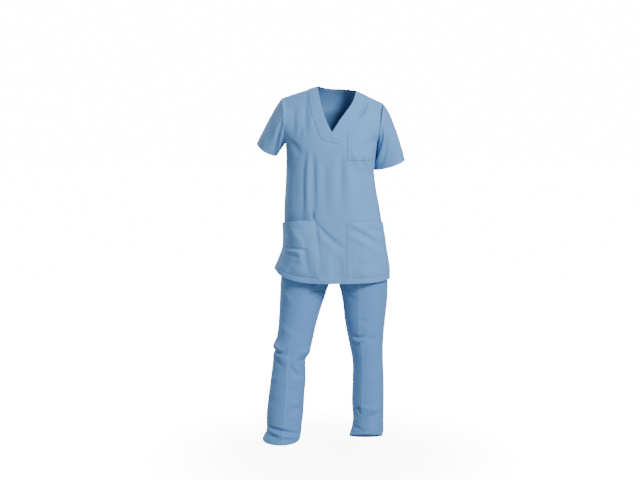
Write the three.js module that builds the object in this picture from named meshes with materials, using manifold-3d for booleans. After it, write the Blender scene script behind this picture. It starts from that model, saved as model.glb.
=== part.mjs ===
// Medical scrubs, size small to medium: a V-neck tunic with three patch pockets over straight
// trousers with an elastic waist, hollow and in the pose of wear. Millimetres, +Z up.
// The front faces -Y. Right and left are the wearer's own: +X is the wearer's left.
// The origin is the middle of the neck opening at shoulder height, where the shoulders carry the tunic.

import Module from 'manifold-3d';
import * as THREE from 'three';
import { mergeVertices } from 'three/addons/utils/BufferGeometryUtils.js';

const wasm = await Module();
wasm.setup();

// Cloth
const wall = 1.6; // cloth with its turned and pressed edges
const seamGap = 0.3; // between neighbouring pieces
const layerLift = wall + seamGap; // a piece lying on another piece
const tunicCloth = { color: 0x7f9fc4, roughness: 0.85, metalness: 0 };
const trouserCloth = { color: 0x7597be, roughness: 0.85, metalness: 0 };

// Tunic
const armpitZ = -205;
const shoulderTipZ = { right: -33, left: -59 };
const armholeReach = { front: 66, back: 72 }; // from the shoulder plane to the armhole's front and back
const chestZ = -230; // below this the front hangs straight, above it the front slopes back
const bladeZ = -150; // the same height on the back
const slopePower = { front: 1.6, back: 2.2 }; // roundness of the slope up to the shoulder
const sectionPower = 2.4; // roundness of a level section, 2 is an ellipse
const armholeFade = 1.7; // how fast the armhole's pull dies out towards the middle
const armholeRound = { atEdge: 0.5, furtherIn: 1.8 }; // a half round at the armhole, a soft swell further in
const shoulderHalf = 195; // from the middle to a shoulder tip
const foldFade = { seam: 8, shoulder: 6 }; // how close the folds run up to the side seams and the shoulders
const foldLean = 3; // folds stand straight forward and lean over only near the sides and the shoulders
const outwardPull = { aside: 0.25, up: 8, upAtShoulder: 40 }; // which way is outward at a panel's point
const hemTurn = 22; // turned-up hem, which also catches the pockets' lower edges
const tunicGrid = { front: 26, back: 22, lower: 16, upper: 9 };
const sleeveRings = 6;
const sleeveFullness = 0.6; // below 1 the sleeve is fullest near the armhole
const cutterDepth = 200; // reach of the prisms that cut outlines from a panel
const cutterOverlap = 1; // how far they start behind the shoulder plane
const cutterTop = 60; // above the shoulders
const weldDistance = 1e-4; // corners nearer than this are one

// Trousers
const crotchZ = -700;
const hemBlendZ = -1240; // below this the levels lean over to the slanted hem
const legColumns = 8;
const legForwardPull = 1.5; // which way is outward on a leg: more to the front and back than aside
const waistband = { top: -415, bottom: -449.7, around: 32 };

// A table's rows become objects, one value for each named column.
function table(columns, rows) {
  return rows.map((row) => Object.fromEntries(columns.map((name, i) => [name, row[i]])));
}

// Side seams, middle front and middle back of the tunic at each height.
const tunicRows = table(['z', 'right', 'left', 'front', 'back'], [
  [-745, -232, 222, 137, 134],
  [-690, -228, 219, 136, 133],
  [-653, -211, 213, 134, 133],
  [-611, -194, 205, 132, 130],
  [-569, -188, 199, 129, 125],
  [-509, -188, 189, 125, 113],
  [-443, -187, 178, 122, 103],
  [-381, -183, 166, 122, 102],
  [-318, -180, 158, 124, 107],
  [-290, -179.5, 159.5, 124.5, 110],
  [-260, -179, 162.5, 125, 114],
  [-230, -180, 166.5, 123.5, 115],
  [-205, -182, 171, 122, 116],
  [-165, -186, 176, 120, 114],
  [-120, -187, 182, 120, 112],
  [-80, -187, 188, 120, 110],
  [-33, -192, 197, 120, 108],
  [12, -193, 203, 120, 108],
]);

// Shoulder line from the right tip over the neck to the left tip.
const shoulderLine = table(['x', 'z'], [
  [-215, -40], [-192, -33], [-97, -2], [-57.6, 10], [15, 26], [88, -7], [132, -27], [202, -59], [230, -70],
]);

// Lower edge of the tunic, across the front and across the back.
const hemFront = table(['u', 'z'], [
  [-1, -689], [-0.9, -704], [-0.78, -714], [-0.54, -726],
  [-0.25, -731], [0.3, -731], [0.75, -729], [1, -724],
]);
const hemBack = table(['u', 'z'], [
  [-1, -689], [-0.85, -712], [-0.5, -730], [0, -738], [0.6, -735], [1, -724],
]);

// Neckband pieces, from the shoulder to the crossing: the neck's edge, then the seam to the panel.
const bandColumns = ['edgeX', 'edgeZ', 'seamX', 'seamZ'];
const bandRight = table(bandColumns, [
  [-57.6, cutterTop, -97, cutterTop],
  [-57.6, 10, -97, -2],
  [-54, -18, -93, -31],
  [-48, -48, -88, -60],
  [-39, -82, -80, -91],
  [-29, -114, -71, -122],
  [-17, -140, -59, -154],
  [-5, -163, -47, -180],
  [6, -172, -32, -194],
  [20, -177, -6, -200],
  [31.5, -181, 20, -206],
]);
const bandLeft = table(bandColumns, [
  [88, cutterTop, 132, cutterTop],
  [88, -7, 132, -27],
  [82, -26, 126, -43],
  [75.6, -44.5, 118, -61],
  [66, -61, 107, -79],
  [56, -75.5, 95, -97],
  [40, -97, 79, -118],
  [24.6, -117.5, 64, -138],
  [10, -140, 49, -158],
  [-5, -163, 35.5, -175],
  [-15, -171.5, 31, -184],
  [-25, -179, 26, -195],
]);
const bandBack = table(bandColumns, [
  [-57.6, cutterTop, -97, cutterTop],
  [-57.6, 10, -97, -2],
  [-50, 8.5, -90, -18],
  [-35, 5, -66, -34],
  [-10, 1.5, -25, -43],
  [15, 0.5, 15, -46],
  [40, -0.5, 58, -48],
  [65, -3, 100, -46],
  [80, -5.5, 124, -38],
  [88, -7, 132, -27],
  [88, cutterTop, 132, cutterTop],
]);
const crossingRows = 2; // the left band's last rows lie over the right band
// Heights between which the left band rises over the right one.
const crossing = { from: -112, to: -150, lift: layerLift + 0.5 };

// Largest folds: a ridge (+) or trough (-) along a line on the cloth, with its half width and height.
const foldColumns = ['x1', 'z1', 'x2', 'z2', 'width', 'height'];
const tunicFrontFolds = table(foldColumns, [
  [-102, -232, -119, -360, 13, -4.5],
  [-119, -360, -121, -492, 14, -5.5],
  [-94, -246, -97, -470, 13, 4.5],
  [-74, -262, -72, -480, 11, -4],
  [-52, -264, -50, -440, 15, 3],
  [34, -250, 30, -420, 14, -3.5],
  [58, -290, 66, -470, 18, 3.5],
  [77, -240, 118, -306, 12, 4],
  [104, -262, 140, -330, 12, -3.5],
  [120, -360, 128, -480, 20, -3],
  [-150, -300, -152, -470, 16, 3],
  [-100, -40, -101, -172, 9, -3],
  [142, -44, 88, -120, 10, -3.5],
  [-148, -72, -170, -122, 10, -3],
  [160, -190, 118, -232, 13, -4],
  [-166, -196, -128, -240, 13, -4],
  [-34, -530, 40, -596, 12, -4],
  [-16, -628, -22, -738, 22, 4],
  [24, -640, 30, -738, 18, -3.5],
  [120, -620, 128, -738, 24, 4],
  [-176, -690, -120, -640, 14, -4],
]);
const tunicBackFolds = table(foldColumns, [
  [-88, -180, -96, -420, 20, -5],
  [84, -190, 92, -410, 20, -5],
  [-40, -210, -44, -470, 22, 4],
  [36, -200, 30, -450, 24, 4],
  [0, -300, -4, -520, 18, -4],
  [-150, -380, -70, -450, 16, -4.5],
  [150, -370, 70, -452, 16, -4.5],
  [-120, -560, -132, -738, 26, 5],
  [-60, -580, -66, -740, 22, -4.5],
  [10, -590, 8, -740, 26, 4.5],
  [80, -570, 92, -740, 22, -4.5],
  [150, -560, 160, -738, 24, 5],
]);
const rightLegFrontFolds = table(foldColumns, [
  [-24, -706, -78, -742, 10, -4],
  [-48, -760, -90, -786, 10, -3.5],
  [-226, -996, -186, -980, 8, -6],
  [-224, -974, -196, -966, 9, 5],
  [-96, -1026, -124, -1004, 8, -6],
  [-88, -990, -120, -980, 8, 4],
  [-222, -1064, -182, -1040, 9, -4],
  [-112, -1090, -134, -1040, 9, -4],
  [-246, -1270, -134, -1292, 8, -5],
  [-250, -1290, -140, -1306, 8, 5],
  [-168, -985, -185, -1300, 8, 3],
]);
const leftLegFrontFolds = table(foldColumns, [
  [40, -740, 76, -766, 10, -3.5],
  [76, -946, 128, -940, 9, -5],
  [84, -962, 120, -958, 9, 4],
  [102, -884, 128, -876, 8, -3],
  [122, -1258, 158, -1282, 8, -4],
  [110, -1235, 84, -1244, 8, -3],
  [101, -745, 102, -950, 8, 3],
  [113, -990, 108, -1300, 8, 3],
]);
const rightLegBackFolds = table(foldColumns, [
  [-150, -745, -60, -770, 12, -4],
  [-216, -1010, -110, -985, 10, -6],
  [-210, -990, -118, -968, 11, 5],
  [-226, -1060, -130, -1034, 12, -4],
  [-160, -1020, -180, -1310, 12, 3],
  [-250, -1275, -140, -1290, 12, -4],
]);
const leftLegBackFolds = table(foldColumns, [
  [60, -745, 150, -775, 12, -4],
  [80, -985, 180, -1008, 10, -5],
  [84, -966, 176, -986, 11, 4],
  [90, -1050, 170, -1068, 12, -3.5],
  [132, -1020, 132, -1310, 12, 3],
  [90, -1285, 180, -1275, 12, -4],
]);

// Patch pockets by their corners, [x, z]. The lower ones run into the side seam and the hem's turn,
// and the right one's mouth stands open, off the panel.
const pocketSide = 260; // beyond the side seam, where the panel itself ends
const pocketFootReach = 5; // from the inner foot corner to the next point of the lower edge
const gapeRoundness = 0.8; // below 1 the open mouth is blunt, above 1 it is pointed
const pocketChest = [[53, -157], [150, -160], [148, -268], [53, -269]];
const pocketLeft = { innerTop: [50, -499], outerTop: [189, -506], innerFoot: [52, -709], gape: 0 };
const pocketRight = { innerTop: [-70, -489], outerTop: [-189, -511], innerFoot: [-50, -709], gape: 26 };

// Sleeves: middle, half width and half depth of the hem, and how it lies round the arm.
const sleeves = {
  right: {
    middle: [-254, 40, -229], outward: [-0.88, 0, 0.476], forward: [0, -0.97, -0.24],
    halfWidth: 46, halfDepth: 65, bulge: 7, side: -1, name: 'right',
  },
  left: {
    middle: [218, 37, -288], outward: [0.957, 0, 0.29], forward: [0, -0.98, -0.2],
    halfWidth: 64, halfDepth: 54, bulge: 12, side: 1, name: 'left',
  },
};

// Trouser legs at each height: side seam, inner seam, depth of both seams, middle front and
// back above the crotch, the leg's half depths, and how far the inner edge has turned to the middle seam.
const legTableColumns = ['z', 'outer', 'inner', 'seamY', 'riseFront', 'riseBack', 'front', 'back', 'turn'];
const rightLeg = {
  hem: { side: -1333, front: -1338, back: -1368 },
  rows: table(legTableColumns, [
    [-1370, -272, -128, -103, -103, -103, 88, 68, 0],
    [-1333, -270, -127, -100, -100, -100, 86, 70, 0],
    [-1305, -256, -121, -95, -95, -95, 80, 72, 0],
    [-1274, -255, -118, -90, -90, -90, 76, 74, 0],
    [-1235, -255, -113, -84, -84, -84, 73, 74, 0],
    [-1156, -246, -108, -73, -73, -73, 71, 73, 0],
    [-1110, -240, -104, -66, -66, -66, 70, 72, 0],
    [-1032, -230, -100, -55, -55, -55, 68, 70, 0],
    [-982, -229, -82, -45, -45, -45, 72, 72, 0],
    [-955, -219, -76, -40, -40, -40, 74, 74, 0],
    [-918, -212, -68, -33, -33, -33, 76, 78, 0],
    [-844, -207, -47, -20, -20, -20, 84, 88, 0],
    [-750, -203, -15, -6, -6, -6, 95, 96, 0],
    [-712, -200, -1, -2, -2, -2, 99, 101, 0],
    [-700, -199, 3, 0, 0, 0, 101, 103, 0],
    [-695, -198.5, 4, 0, -32, 40, 102, 105, 0.3],
    [-683, -197, 4, 0, -70, 76, 106, 110, 0.6],
    [-660, -193, 4, -1, -105, 108, 112, 114, 0.9],
    [-620, -184, 4, -2, -121, 116, 119, 118, 1],
    [-570, -177, 4, -2, -122, 112, 120, 114, 1],
    [-520, -168, 4, -3, -116, 100, 113, 103, 1],
    [-450, -148, 4, -3, -98, 88, 95, 91, 1],
  ]),
};
const leftLeg = {
  hem: { side: -1340, front: -1316, back: -1366 },
  rows: table(legTableColumns, [
    [-1370, 193, 65, -36, -36, -36, 78, 70, 0],
    [-1340, 193, 65, -35, -35, -35, 78, 70, 0],
    [-1309, 198, 73, -32, -32, -32, 75, 72, 0],
    [-1272, 198, 78, -29, -29, -29, 72, 72, 0],
    [-1211, 199, 74, -25, -25, -25, 70, 72, 0],
    [-1123, 198.7, 76.5, -20, -20, -20, 68, 70, 0],
    [-1045, 195.6, 75.5, -17, -17, -17, 68, 70, 0],
    [-966, 196, 60.5, -14, -14, -14, 74, 74, 0],
    [-889, 202.5, 46, -9, -9, -9, 82, 84, 0],
    [-811, 211, 37, -4, -4, -4, 88, 92, 0],
    [-753, 213, 23.6, -1, -1, -1, 95, 95, 0],
    [-712, 211, 9, 0, 0, 0, 99, 101, 0],
    [-700, 210, 5, 0, 0, 0, 101, 103, 0],
    [-695, 209.5, 4, 0, -32, 40, 102, 105, 0.3],
    [-683, 208, 4, 0, -70, 76, 106, 110, 0.6],
    [-660, 203, 4, -1, -105, 108, 112, 114, 0.9],
    [-620, 194, 4, -2, -121, 116, 119, 118, 1],
    [-570, 186, 4, -2, -122, 112, 120, 114, 1],
    [-520, 172, 4, -3, -116, 100, 113, 103, 1],
    [-450, 156, 4, -3, -98, 88, 95, 91, 1],
  ]),
};
const legLevels = [
  -450, -485, -520, -570, -620, -660, -683, -695, -700, -712, -750, -795, -840, -885, -920, -952,
  -982, -1008, -1035, -1075, -1120, -1175, -1235, -1268, -1298, -1333,
];

// Smooth curve through a table's rows, read at one value of its key column.
function smoothAt(rows, key, column, at) {
  const last = rows.length - 1;
  if (at <= rows[0][key]) return rows[0][column];
  if (at >= rows[last][key]) return rows[last][column];
  let i = 0;
  while (rows[i + 1][key] < at) i += 1;
  const slope = (k) => {
    const before = rows[Math.max(k - 1, 0)];
    const after = rows[Math.min(k + 1, last)];
    return (after[column] - before[column]) / (after[key] - before[key]);
  };
  const span = rows[i + 1][key] - rows[i][key];
  const t = (at - rows[i][key]) / span;
  const start = (1 + 2 * t) * (1 - t) ** 2 * rows[i][column] + t * (1 - t) ** 2 * span * slope(i);
  const end = t * t * (3 - 2 * t) * rows[i + 1][column] + t * t * (t - 1) * span * slope(i + 1);
  return start + end;
}

const mix = (from, to, share) => from + (to - from) * share;
const clamp = (value, low, high) => Math.min(Math.max(value, low), high);
const easeBoth = (share) => (1 - Math.cos(Math.PI * share)) / 2;

// Height of the folds at a point of the cloth, seen straight from the front.
function foldHeight(folds, x, z) {
  let height = 0;
  for (const fold of folds) {
    const [dx, dz] = [fold.x2 - fold.x1, fold.z2 - fold.z1];
    const t = clamp(((x - fold.x1) * dx + (z - fold.z1) * dz) / (dx * dx + dz * dz), 0, 1);
    const distance = Math.hypot(x - fold.x1 - t * dx, z - fold.z1 - t * dz);
    height += fold.height * Math.exp(-((distance / fold.width) ** 2));
  }
  return height;
}

// A closed wall of cloth. The outer points run in rows, and each inner point lies under its outer one.
function wallMesh(outer, inner, closedAround) {
  const rows = outer.length;
  const columns = outer[0].length;
  const positions = [...outer.flat(), ...inner.flat()].flatMap((point) => point.toArray());
  const at = (row, column) => row * columns + (column % columns);
  const layer = rows * columns;
  const faces = [];
  const quad = (a, b, c, d) => faces.push([a, b, c], [a, c, d]);
  const across = closedAround ? columns : columns - 1;
  for (let row = 0; row < rows - 1; row += 1) {
    for (let column = 0; column < across; column += 1) {
      const corners = [at(row, column), at(row, column + 1), at(row + 1, column + 1), at(row + 1, column)];
      const [a, b, c, d] = corners.map((corner) => corner + layer);
      quad(...corners);
      quad(a, d, c, b);
    }
  }
  const edge = (a, b) => quad(b, a, a + layer, b + layer);
  for (let column = 0; column < across; column += 1) {
    edge(at(0, column), at(0, column + 1));
    edge(at(rows - 1, column + 1), at(rows - 1, column));
  }
  for (let row = 0; row < rows - 1 && !closedAround; row += 1) {
    edge(at(row + 1, 0), at(row, 0));
    edge(at(row, columns - 1), at(row + 1, columns - 1));
  }
  return { positions, indices: facesOutward(faces, positions).flat() };
}

// The faces enclose a positive volume when they point out, so a negative one is turned round.
function facesOutward(faces, positions) {
  const corner = (index) => new THREE.Vector3().fromArray(positions, index * 3);
  const volume = faces.reduce(
    (sum, [a, b, c]) => sum + corner(a).dot(new THREE.Vector3().crossVectors(corner(b), corner(c))),
    0,
  );
  return volume > 0 ? faces : faces.map(([a, b, c]) => [a, c, b]);
}

function geometryOf({ positions, indices }) {
  const geometry = new THREE.BufferGeometry();
  geometry.setAttribute('position', new THREE.Float32BufferAttribute(positions, 3));
  geometry.setIndex(indices);
  geometry.computeVertexNormals();
  return geometry;
}

function solidOf({ positions, indices }) {
  const mesh = new wasm.Mesh({
    numProp: 3, vertProperties: new Float32Array(positions), triVerts: new Uint32Array(indices),
  });
  return new wasm.Manifold(mesh);
}

function geometryOfSolid(solid) {
  const { numProp, vertProperties, triVerts } = solid.getMesh();
  const positions = [];
  for (let i = 0; i < vertProperties.length; i += numProp) {
    positions.push(...vertProperties.slice(i, i + 3));
  }
  return geometryOf({ positions, indices: [...triVerts] });
}

// A prism that stands on an outline in the XZ plane and runs forwards or backwards through a panel.
function prism(outline, face) {
  const shape = new THREE.Shape(outline.map(([x, z]) => new THREE.Vector2(x, z)));
  const geometry = new THREE.ExtrudeGeometry(shape, { depth: cutterDepth, bevelEnabled: false });
  const start = face === 'front' ? cutterOverlap : cutterDepth - cutterOverlap;
  geometry.rotateX(Math.PI / 2).translate(0, start, 0);
  geometry.deleteAttribute('normal');
  geometry.deleteAttribute('uv');
  const merged = mergeVertices(geometry, weldDistance);
  return solidOf({ positions: [...merged.attributes.position.array], indices: [...merged.index.array] });
}

// Directions square to a grid of points, on the side that outwardOf names for each point.
function gridNormals(points, closedAround, outwardOf) {
  const rows = points.length;
  const columns = points[0].length;
  return points.map((row, r) => row.map((point, c) => {
    const before = closedAround ? row[(c + columns - 1) % columns] : row[Math.max(c - 1, 0)];
    const after = closedAround ? row[(c + 1) % columns] : row[Math.min(c + 1, columns - 1)];
    const across = after.clone().sub(before);
    const along = points[Math.min(r + 1, rows - 1)][c].clone().sub(points[Math.max(r - 1, 0)][c]);
    const normal = across.cross(along).normalize();
    return normal.dot(outwardOf(point, r, c)) < 0 ? normal.negate() : normal;
  }));
}

function movedOut(points, normals, distanceOf) {
  return points.map((row, r) => row.map((point, c) => (
    point.clone().addScaledVector(normals[r][c], distanceOf(point, r, c))
  )));
}

const garment = new THREE.Group();

function addPiece(name, geometry, cloth) {
  const mesh = new THREE.Mesh(geometry, new THREE.MeshStandardMaterial(cloth));
  mesh.name = name;
  garment.add(mesh);
}

// Tunic body: u runs from the right side seam, -1, to the left one, 1. face is front or back.
const faceSign = { front: -1, back: 1 };

function sideX(z) {
  return { right: smoothAt(tunicRows, 'z', 'right', z), left: smoothAt(tunicRows, 'z', 'left', z) };
}

function armholeDepth(face, u, z, round) {
  const tip = u < 0 ? shoulderTipZ.right : shoulderTipZ.left;
  const share = clamp((z - armpitZ) / (tip - armpitZ), 0, 1);
  const curve = (4 * share * (1 - share)) ** (armholeRound.atEdge + armholeRound.furtherIn * round);
  return armholeReach[face] * curve * (1 - round) ** armholeFade;
}

// Share of the way from the straight hanging cloth up to the shoulder line.
function slopeShare(face, x, z) {
  const low = face === 'front' ? chestZ : bladeZ;
  return clamp((z - low) / (smoothAt(shoulderLine, 'x', 'z', x) - low), 0, 1);
}

// Outer face of the tunic with its folds, which fade out towards the seams.
function tunicPoint(face, u, z) {
  const { right, left } = sideX(z);
  const x = mix(right, left, (u + 1) / 2);
  const share = slopeShare(face, x, z);
  const power = slopePower[face];
  const middle = smoothAt(tunicRows, 'z', face, z) * (1 - share ** power) ** (1 / power);
  const round = Math.max(1 - Math.abs(u) ** sectionPower, 0) ** (1 / sectionPower);
  const folds = face === 'front' ? tunicFrontFolds : tunicBackFolds;
  const height = foldHeight(folds, x, z) * (1 - u ** foldFade.seam) * (1 - share ** foldFade.shoulder);
  const depth = middle * round + armholeDepth(face, u, z, round) + seamGap / 2;
  const out = new THREE.Vector3(u ** foldLean, faceSign[face], share ** foldLean).normalize();
  return new THREE.Vector3(x, faceSign[face] * depth, z).addScaledVector(out, height);
}

// The grid of a whole panel, from the hem up to the armpits and on to the shoulder line.
function panelGrid(face) {
  const { lower, upper } = tunicGrid;
  const count = tunicGrid[face];
  const hem = face === 'front' ? hemFront : hemBack;
  const columns = Array.from({ length: count + 1 }, (_, c) => {
    const u = -Math.cos((Math.PI * c) / count);
    if (c === 0) return { u, top: shoulderTipZ.right };
    if (c === count) return { u, top: shoulderTipZ.left };
    const nearTop = smoothAt(shoulderLine, 'x', 'z', shoulderHalf * u);
    const { right, left } = sideX(nearTop);
    return { u, top: smoothAt(shoulderLine, 'x', 'z', mix(right, left, (u + 1) / 2)) };
  });
  const points = [];
  for (let row = 0; row <= lower + upper; row += 1) {
    points.push(columns.map(({ u, top }) => {
      const z = row <= lower
        ? mix(smoothAt(hem, 'u', 'z', u), armpitZ, row / lower)
        : mix(armpitZ, top, easeBoth((row - lower) / upper));
      return tunicPoint(face, u, z);
    }));
  }
  points[lower + upper].forEach((point) => point.setY(faceSign[face] * (seamGap / 2)));
  const { aside, up, upAtShoulder } = outwardPull;
  const normals = gridNormals(points, false, (point, r) => (
    new THREE.Vector3(aside * point.x, point.y, r === lower + upper ? upAtShoulder : up)
  ));
  normals.forEach((row, r) => {
    if (r <= lower) [row[0], row[count]].forEach((normal) => normal.setY(0).normalize());
    if (r === lower + upper) row.forEach((normal) => normal.setY(0).normalize());
    if (row[0].x > 0) row[0].setX(0).normalize();
    if (row[count].x < 0) row[count].setX(0).normalize();
  });
  return { points, normals };
}

const panels = { front: panelGrid('front'), back: panelGrid('back') };

// A wall made of a panel's own points, moved out by the lift at each of them.
function panelWall(face, liftOf) {
  const { points, normals } = panels[face];
  const outer = movedOut(points, normals, liftOf);
  const inner = movedOut(outer, normals, () => -wall);
  return solidOf(wallMesh(outer, inner, false));
}

const seamPoints = (rows) => rows.map((row) => [row.seamX, row.seamZ]);
const edgePoints = (rows) => rows.map((row) => [row.edgeX, row.edgeZ]);
const bandEnd = bandRight[bandRight.length - 1];
const neckOutline = {
  front: [
    ...seamPoints(bandRight),
    [bandEnd.edgeX, bandEnd.edgeZ],
    ...seamPoints(bandLeft.slice(0, -crossingRows)).reverse(),
  ],
  back: seamPoints(bandBack),
};

function tunicPanel(face) {
  const solid = panelWall(face, () => 0).subtract(prism(neckOutline[face], face));
  addPiece(`top_${face}`, geometryOfSolid(solid), tunicCloth);
}

// A neckband strip lies in the panel's own surface, a seam gap inside the panel's cut edge.
function neckband(name, face, rows, liftOf) {
  const inset = rows.map((row) => {
    const share = seamGap / Math.hypot(row.edgeX - row.seamX, row.edgeZ - row.seamZ);
    return [mix(row.seamX, row.edgeX, share), mix(row.seamZ, row.edgeZ, share)];
  });
  const outline = [...inset, ...edgePoints(rows).reverse()];
  addPiece(name, geometryOfSolid(panelWall(face, liftOf).intersect(prism(outline, face))), tunicCloth);
}

// The right band stops a seam gap short of the panel's edge beside it.
const bandRightShort = bandRight.map((row, i) => (i < bandRight.length - 1 ? row : {
  edgeX: row.edgeX - seamGap, edgeZ: row.edgeZ + seamGap / 2, seamX: row.seamX - seamGap, seamZ: row.seamZ,
}));

function crossingLift(point) {
  return crossing.lift * easeBoth(clamp((crossing.from - point.z) / (crossing.from - crossing.to), 0, 1));
}

// Lower patch pocket: from its inner edge to the side seam, and down to the hem's turn.
function lowerPocket(name, spec) {
  const { innerTop, outerTop, innerFoot, gape } = spec;
  const side = Math.sign(innerTop[0]);
  const hemLine = hemFront.filter((row) => row.u * side > 0).map((row) => {
    const { right, left } = sideX(row.z);
    return [mix(right, left, (row.u + 1) / 2), row.z + hemTurn];
  }).filter(([x]) => Math.abs(x) > Math.abs(innerFoot[0]) + pocketFootReach);
  if (side < 0) hemLine.reverse();
  const foot = [side * pocketSide, hemLine[hemLine.length - 1][1]];
  const mouth = [innerTop, outerTop, [side * pocketSide, outerTop[1]]];
  const outline = [...mouth, foot, ...hemLine.reverse(), innerFoot];
  const lift = (point) => {
    const down = clamp((innerTop[1] - point.z) / (innerTop[1] - innerFoot[1]), 0, 1);
    const inner = mix(innerTop[0], innerFoot[0], down);
    const across = clamp((point.x - inner) / (outerTop[0] - inner), 0, 1);
    return layerLift + gape * Math.sin(Math.PI * across) ** gapeRoundness * (1 - down ** 2);
  };
  addPiece(name, geometryOfSolid(panelWall('front', lift).intersect(prism(outline, 'front'))), tunicCloth);
}

function chestPocket() {
  const solid = panelWall('front', () => layerLift).intersect(prism(pocketChest, 'front'));
  addPiece('pocket_chest', geometryOfSolid(solid), tunicCloth);
}

// Short sleeve: rings run from the armhole to the hem round the arm.
function sleeve(name, spec) {
  const { side } = spec;
  const half = tunicGrid.upper;
  const around = half * 2;
  const middle = new THREE.Vector3(...spec.middle);
  const outward = new THREE.Vector3(...spec.outward).normalize();
  const forward = new THREE.Vector3(...spec.forward).normalize();
  const points = [];
  for (let ring = 0; ring <= sleeveRings; ring += 1) {
    const share = ring / sleeveRings;
    const line = [];
    for (let k = 0; k < around; k += 1) {
      const rise = k <= half ? k / half : 2 - k / half;
      const z = mix(armpitZ, shoulderTipZ[spec.name], easeBoth(rise));
      const start = tunicPoint(k <= half ? 'front' : 'back', side, z);
      start.x += side * seamGap;
      if (k % half === 0) start.y = 0;
      const angle = (2 * Math.PI * k) / around;
      const end = middle.clone()
        .addScaledVector(outward, -spec.halfWidth * Math.cos(angle))
        .addScaledVector(forward, spec.halfDepth * Math.sin(angle));
      const swell = Math.sin(Math.PI * share ** sleeveFullness) * spec.bulge * ((1 - Math.cos(angle)) / 2);
      line.push(start.lerp(end, share).addScaledVector(outward, swell));
    }
    points.push(line);
  }
  const centres = points.map((line) => (
    line.reduce((sum, point) => sum.add(point), new THREE.Vector3()).divideScalar(around)
  ));
  const normals = gridNormals(points, true, (point, r) => point.clone().sub(centres[r]));
  normals[0].forEach((normal) => {
    if (normal.x * side > 0) normal.setX(0).normalize();
  });
  const inner = movedOut(points, normals, () => -wall);
  addPiece(name, geometryOf(wallMesh(points, inner, true)), tunicCloth);
}

// Point on one quarter of the trousers: t runs from the side seam, 0, to the inner edge, 1.
function legPoint(leg, face, folds, level, t) {
  const sign = faceSign[face];
  const swing = 4 * t * (1 - t);
  const hemZ = mix(leg.hem.side, leg.hem[face], swing);
  const z = level >= hemBlendZ
    ? level
    : mix(hemBlendZ, hemZ, (hemBlendZ - level) / (hemBlendZ - legLevels[legLevels.length - 1]));
  const read = (column) => smoothAt(leg.rows, 'z', column, z);
  const [outer, inner, seamY, depth, turn] = ['outer', 'inner', 'seamY', face, 'turn'].map(read);
  const innerY = z > crotchZ ? read(face === 'front' ? 'riseFront' : 'riseBack') : seamY;
  const quarter = 0.5523; // handle length of a quarter round
  const halfRound = 4 / 3; // handle length of a half round
  const shown = depth - Math.abs(innerY - seamY);
  const handles = [
    [outer, seamY],
    [outer, seamY + sign * mix(halfRound, quarter, turn) * depth],
    [inner + turn * quarter * (outer - inner), innerY + sign * (1 - turn) * halfRound * Math.max(shown, 0)],
    [inner, innerY],
  ];
  const weights = [(1 - t) ** 3, 3 * t * (1 - t) ** 2, 3 * t * t * (1 - t), t ** 3];
  const x = handles.reduce((sum, handle, i) => sum + handle[0] * weights[i], 0);
  const y = handles.reduce((sum, handle, i) => sum + handle[1] * weights[i], 0);
  const height = foldHeight(folds, x, z) * (1 - (2 * t - 1) ** 8);
  const across = x - mix(outer, inner, 0.5);
  const out = new THREE.Vector3(across / Math.abs(outer - inner), sign, 0).normalize();
  return new THREE.Vector3(x, y + sign * (seamGap / 2), z).addScaledVector(out, height);
}

function legPanel(sideName, leg, face, folds) {
  const inward = sideName === 'right' ? 1 : -1;
  const points = legLevels.map((level) => Array.from({ length: legColumns + 1 }, (_, column) => {
    const point = legPoint(leg, face, folds, level, column / legColumns);
    if (column === legColumns) point.x -= inward * (seamGap / 2);
    return point;
  }));
  const normals = gridNormals(points, false, (point, r) => {
    const [outer, inner] = [points[r][0], points[r][legColumns]];
    const middle = legLevels[r] > crotchZ ? inner.x : (outer.x + inner.x) / 2;
    return new THREE.Vector3(point.x - middle, legForwardPull * (point.y - outer.y), 0);
  });
  normals.forEach((row, r) => {
    row[0].setY(0).normalize();
    const edge = row[legColumns];
    if (legLevels[r] > crotchZ) edge.setX(0).normalize();
    if (legLevels[r] === crotchZ) edge.set(0, 0, -1);
    if (legLevels[r] < crotchZ) edge.set(inward, 0, 0);
  });
  const inner = movedOut(points, normals, () => -wall);
  addPiece(`leg_${sideName}_${face}`, geometryOf(wallMesh(points, inner, false)), trouserCloth);
}

// Elastic casing that stands on the trousers' upper edges.
function waistbandRing() {
  const heights = [waistband.bottom, (waistband.bottom + waistband.top) / 2, waistband.top];
  const points = heights.map((z) => Array.from({ length: waistband.around }, (_, k) => {
    const quarter = waistband.around / 4;
    const turn = Math.floor(k / quarter);
    const legs = [[rightLeg, 'front'], [leftLeg, 'front'], [leftLeg, 'back'], [rightLeg, 'back']];
    const share = (k % quarter) / quarter;
    const [leg, face] = legs[turn];
    const point = legPoint(leg, face, [], legLevels[0], turn % 2 === 0 ? share : 1 - share);
    if (share === 0 && turn % 2 === 0) point.y = rightLeg.rows[rightLeg.rows.length - 1].seamY;
    return point.setZ(z);
  }));
  const normals = gridNormals(points, true, (point) => new THREE.Vector3(point.x, point.y, 0));
  const inner = movedOut(points, normals, () => -wall);
  addPiece('waistband', geometryOf(wallMesh(points, inner, true)), trouserCloth);
}

tunicPanel('front');
tunicPanel('back');
neckband('neckband_right', 'front', bandRightShort, () => 0);
neckband('neckband_left', 'front', bandLeft, crossingLift);
neckband('neckband_back', 'back', bandBack, () => 0);
sleeve('sleeve_right', sleeves.right);
sleeve('sleeve_left', sleeves.left);
chestPocket();
lowerPocket('pocket_left', pocketLeft);
lowerPocket('pocket_right', pocketRight);
waistbandRing();
legPanel('right', rightLeg, 'front', rightLegFrontFolds);
legPanel('right', rightLeg, 'back', rightLegBackFolds);
legPanel('left', leftLeg, 'front', leftLegFrontFolds);
legPanel('left', leftLeg, 'back', leftLegBackFolds);

export default garment;
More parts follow.
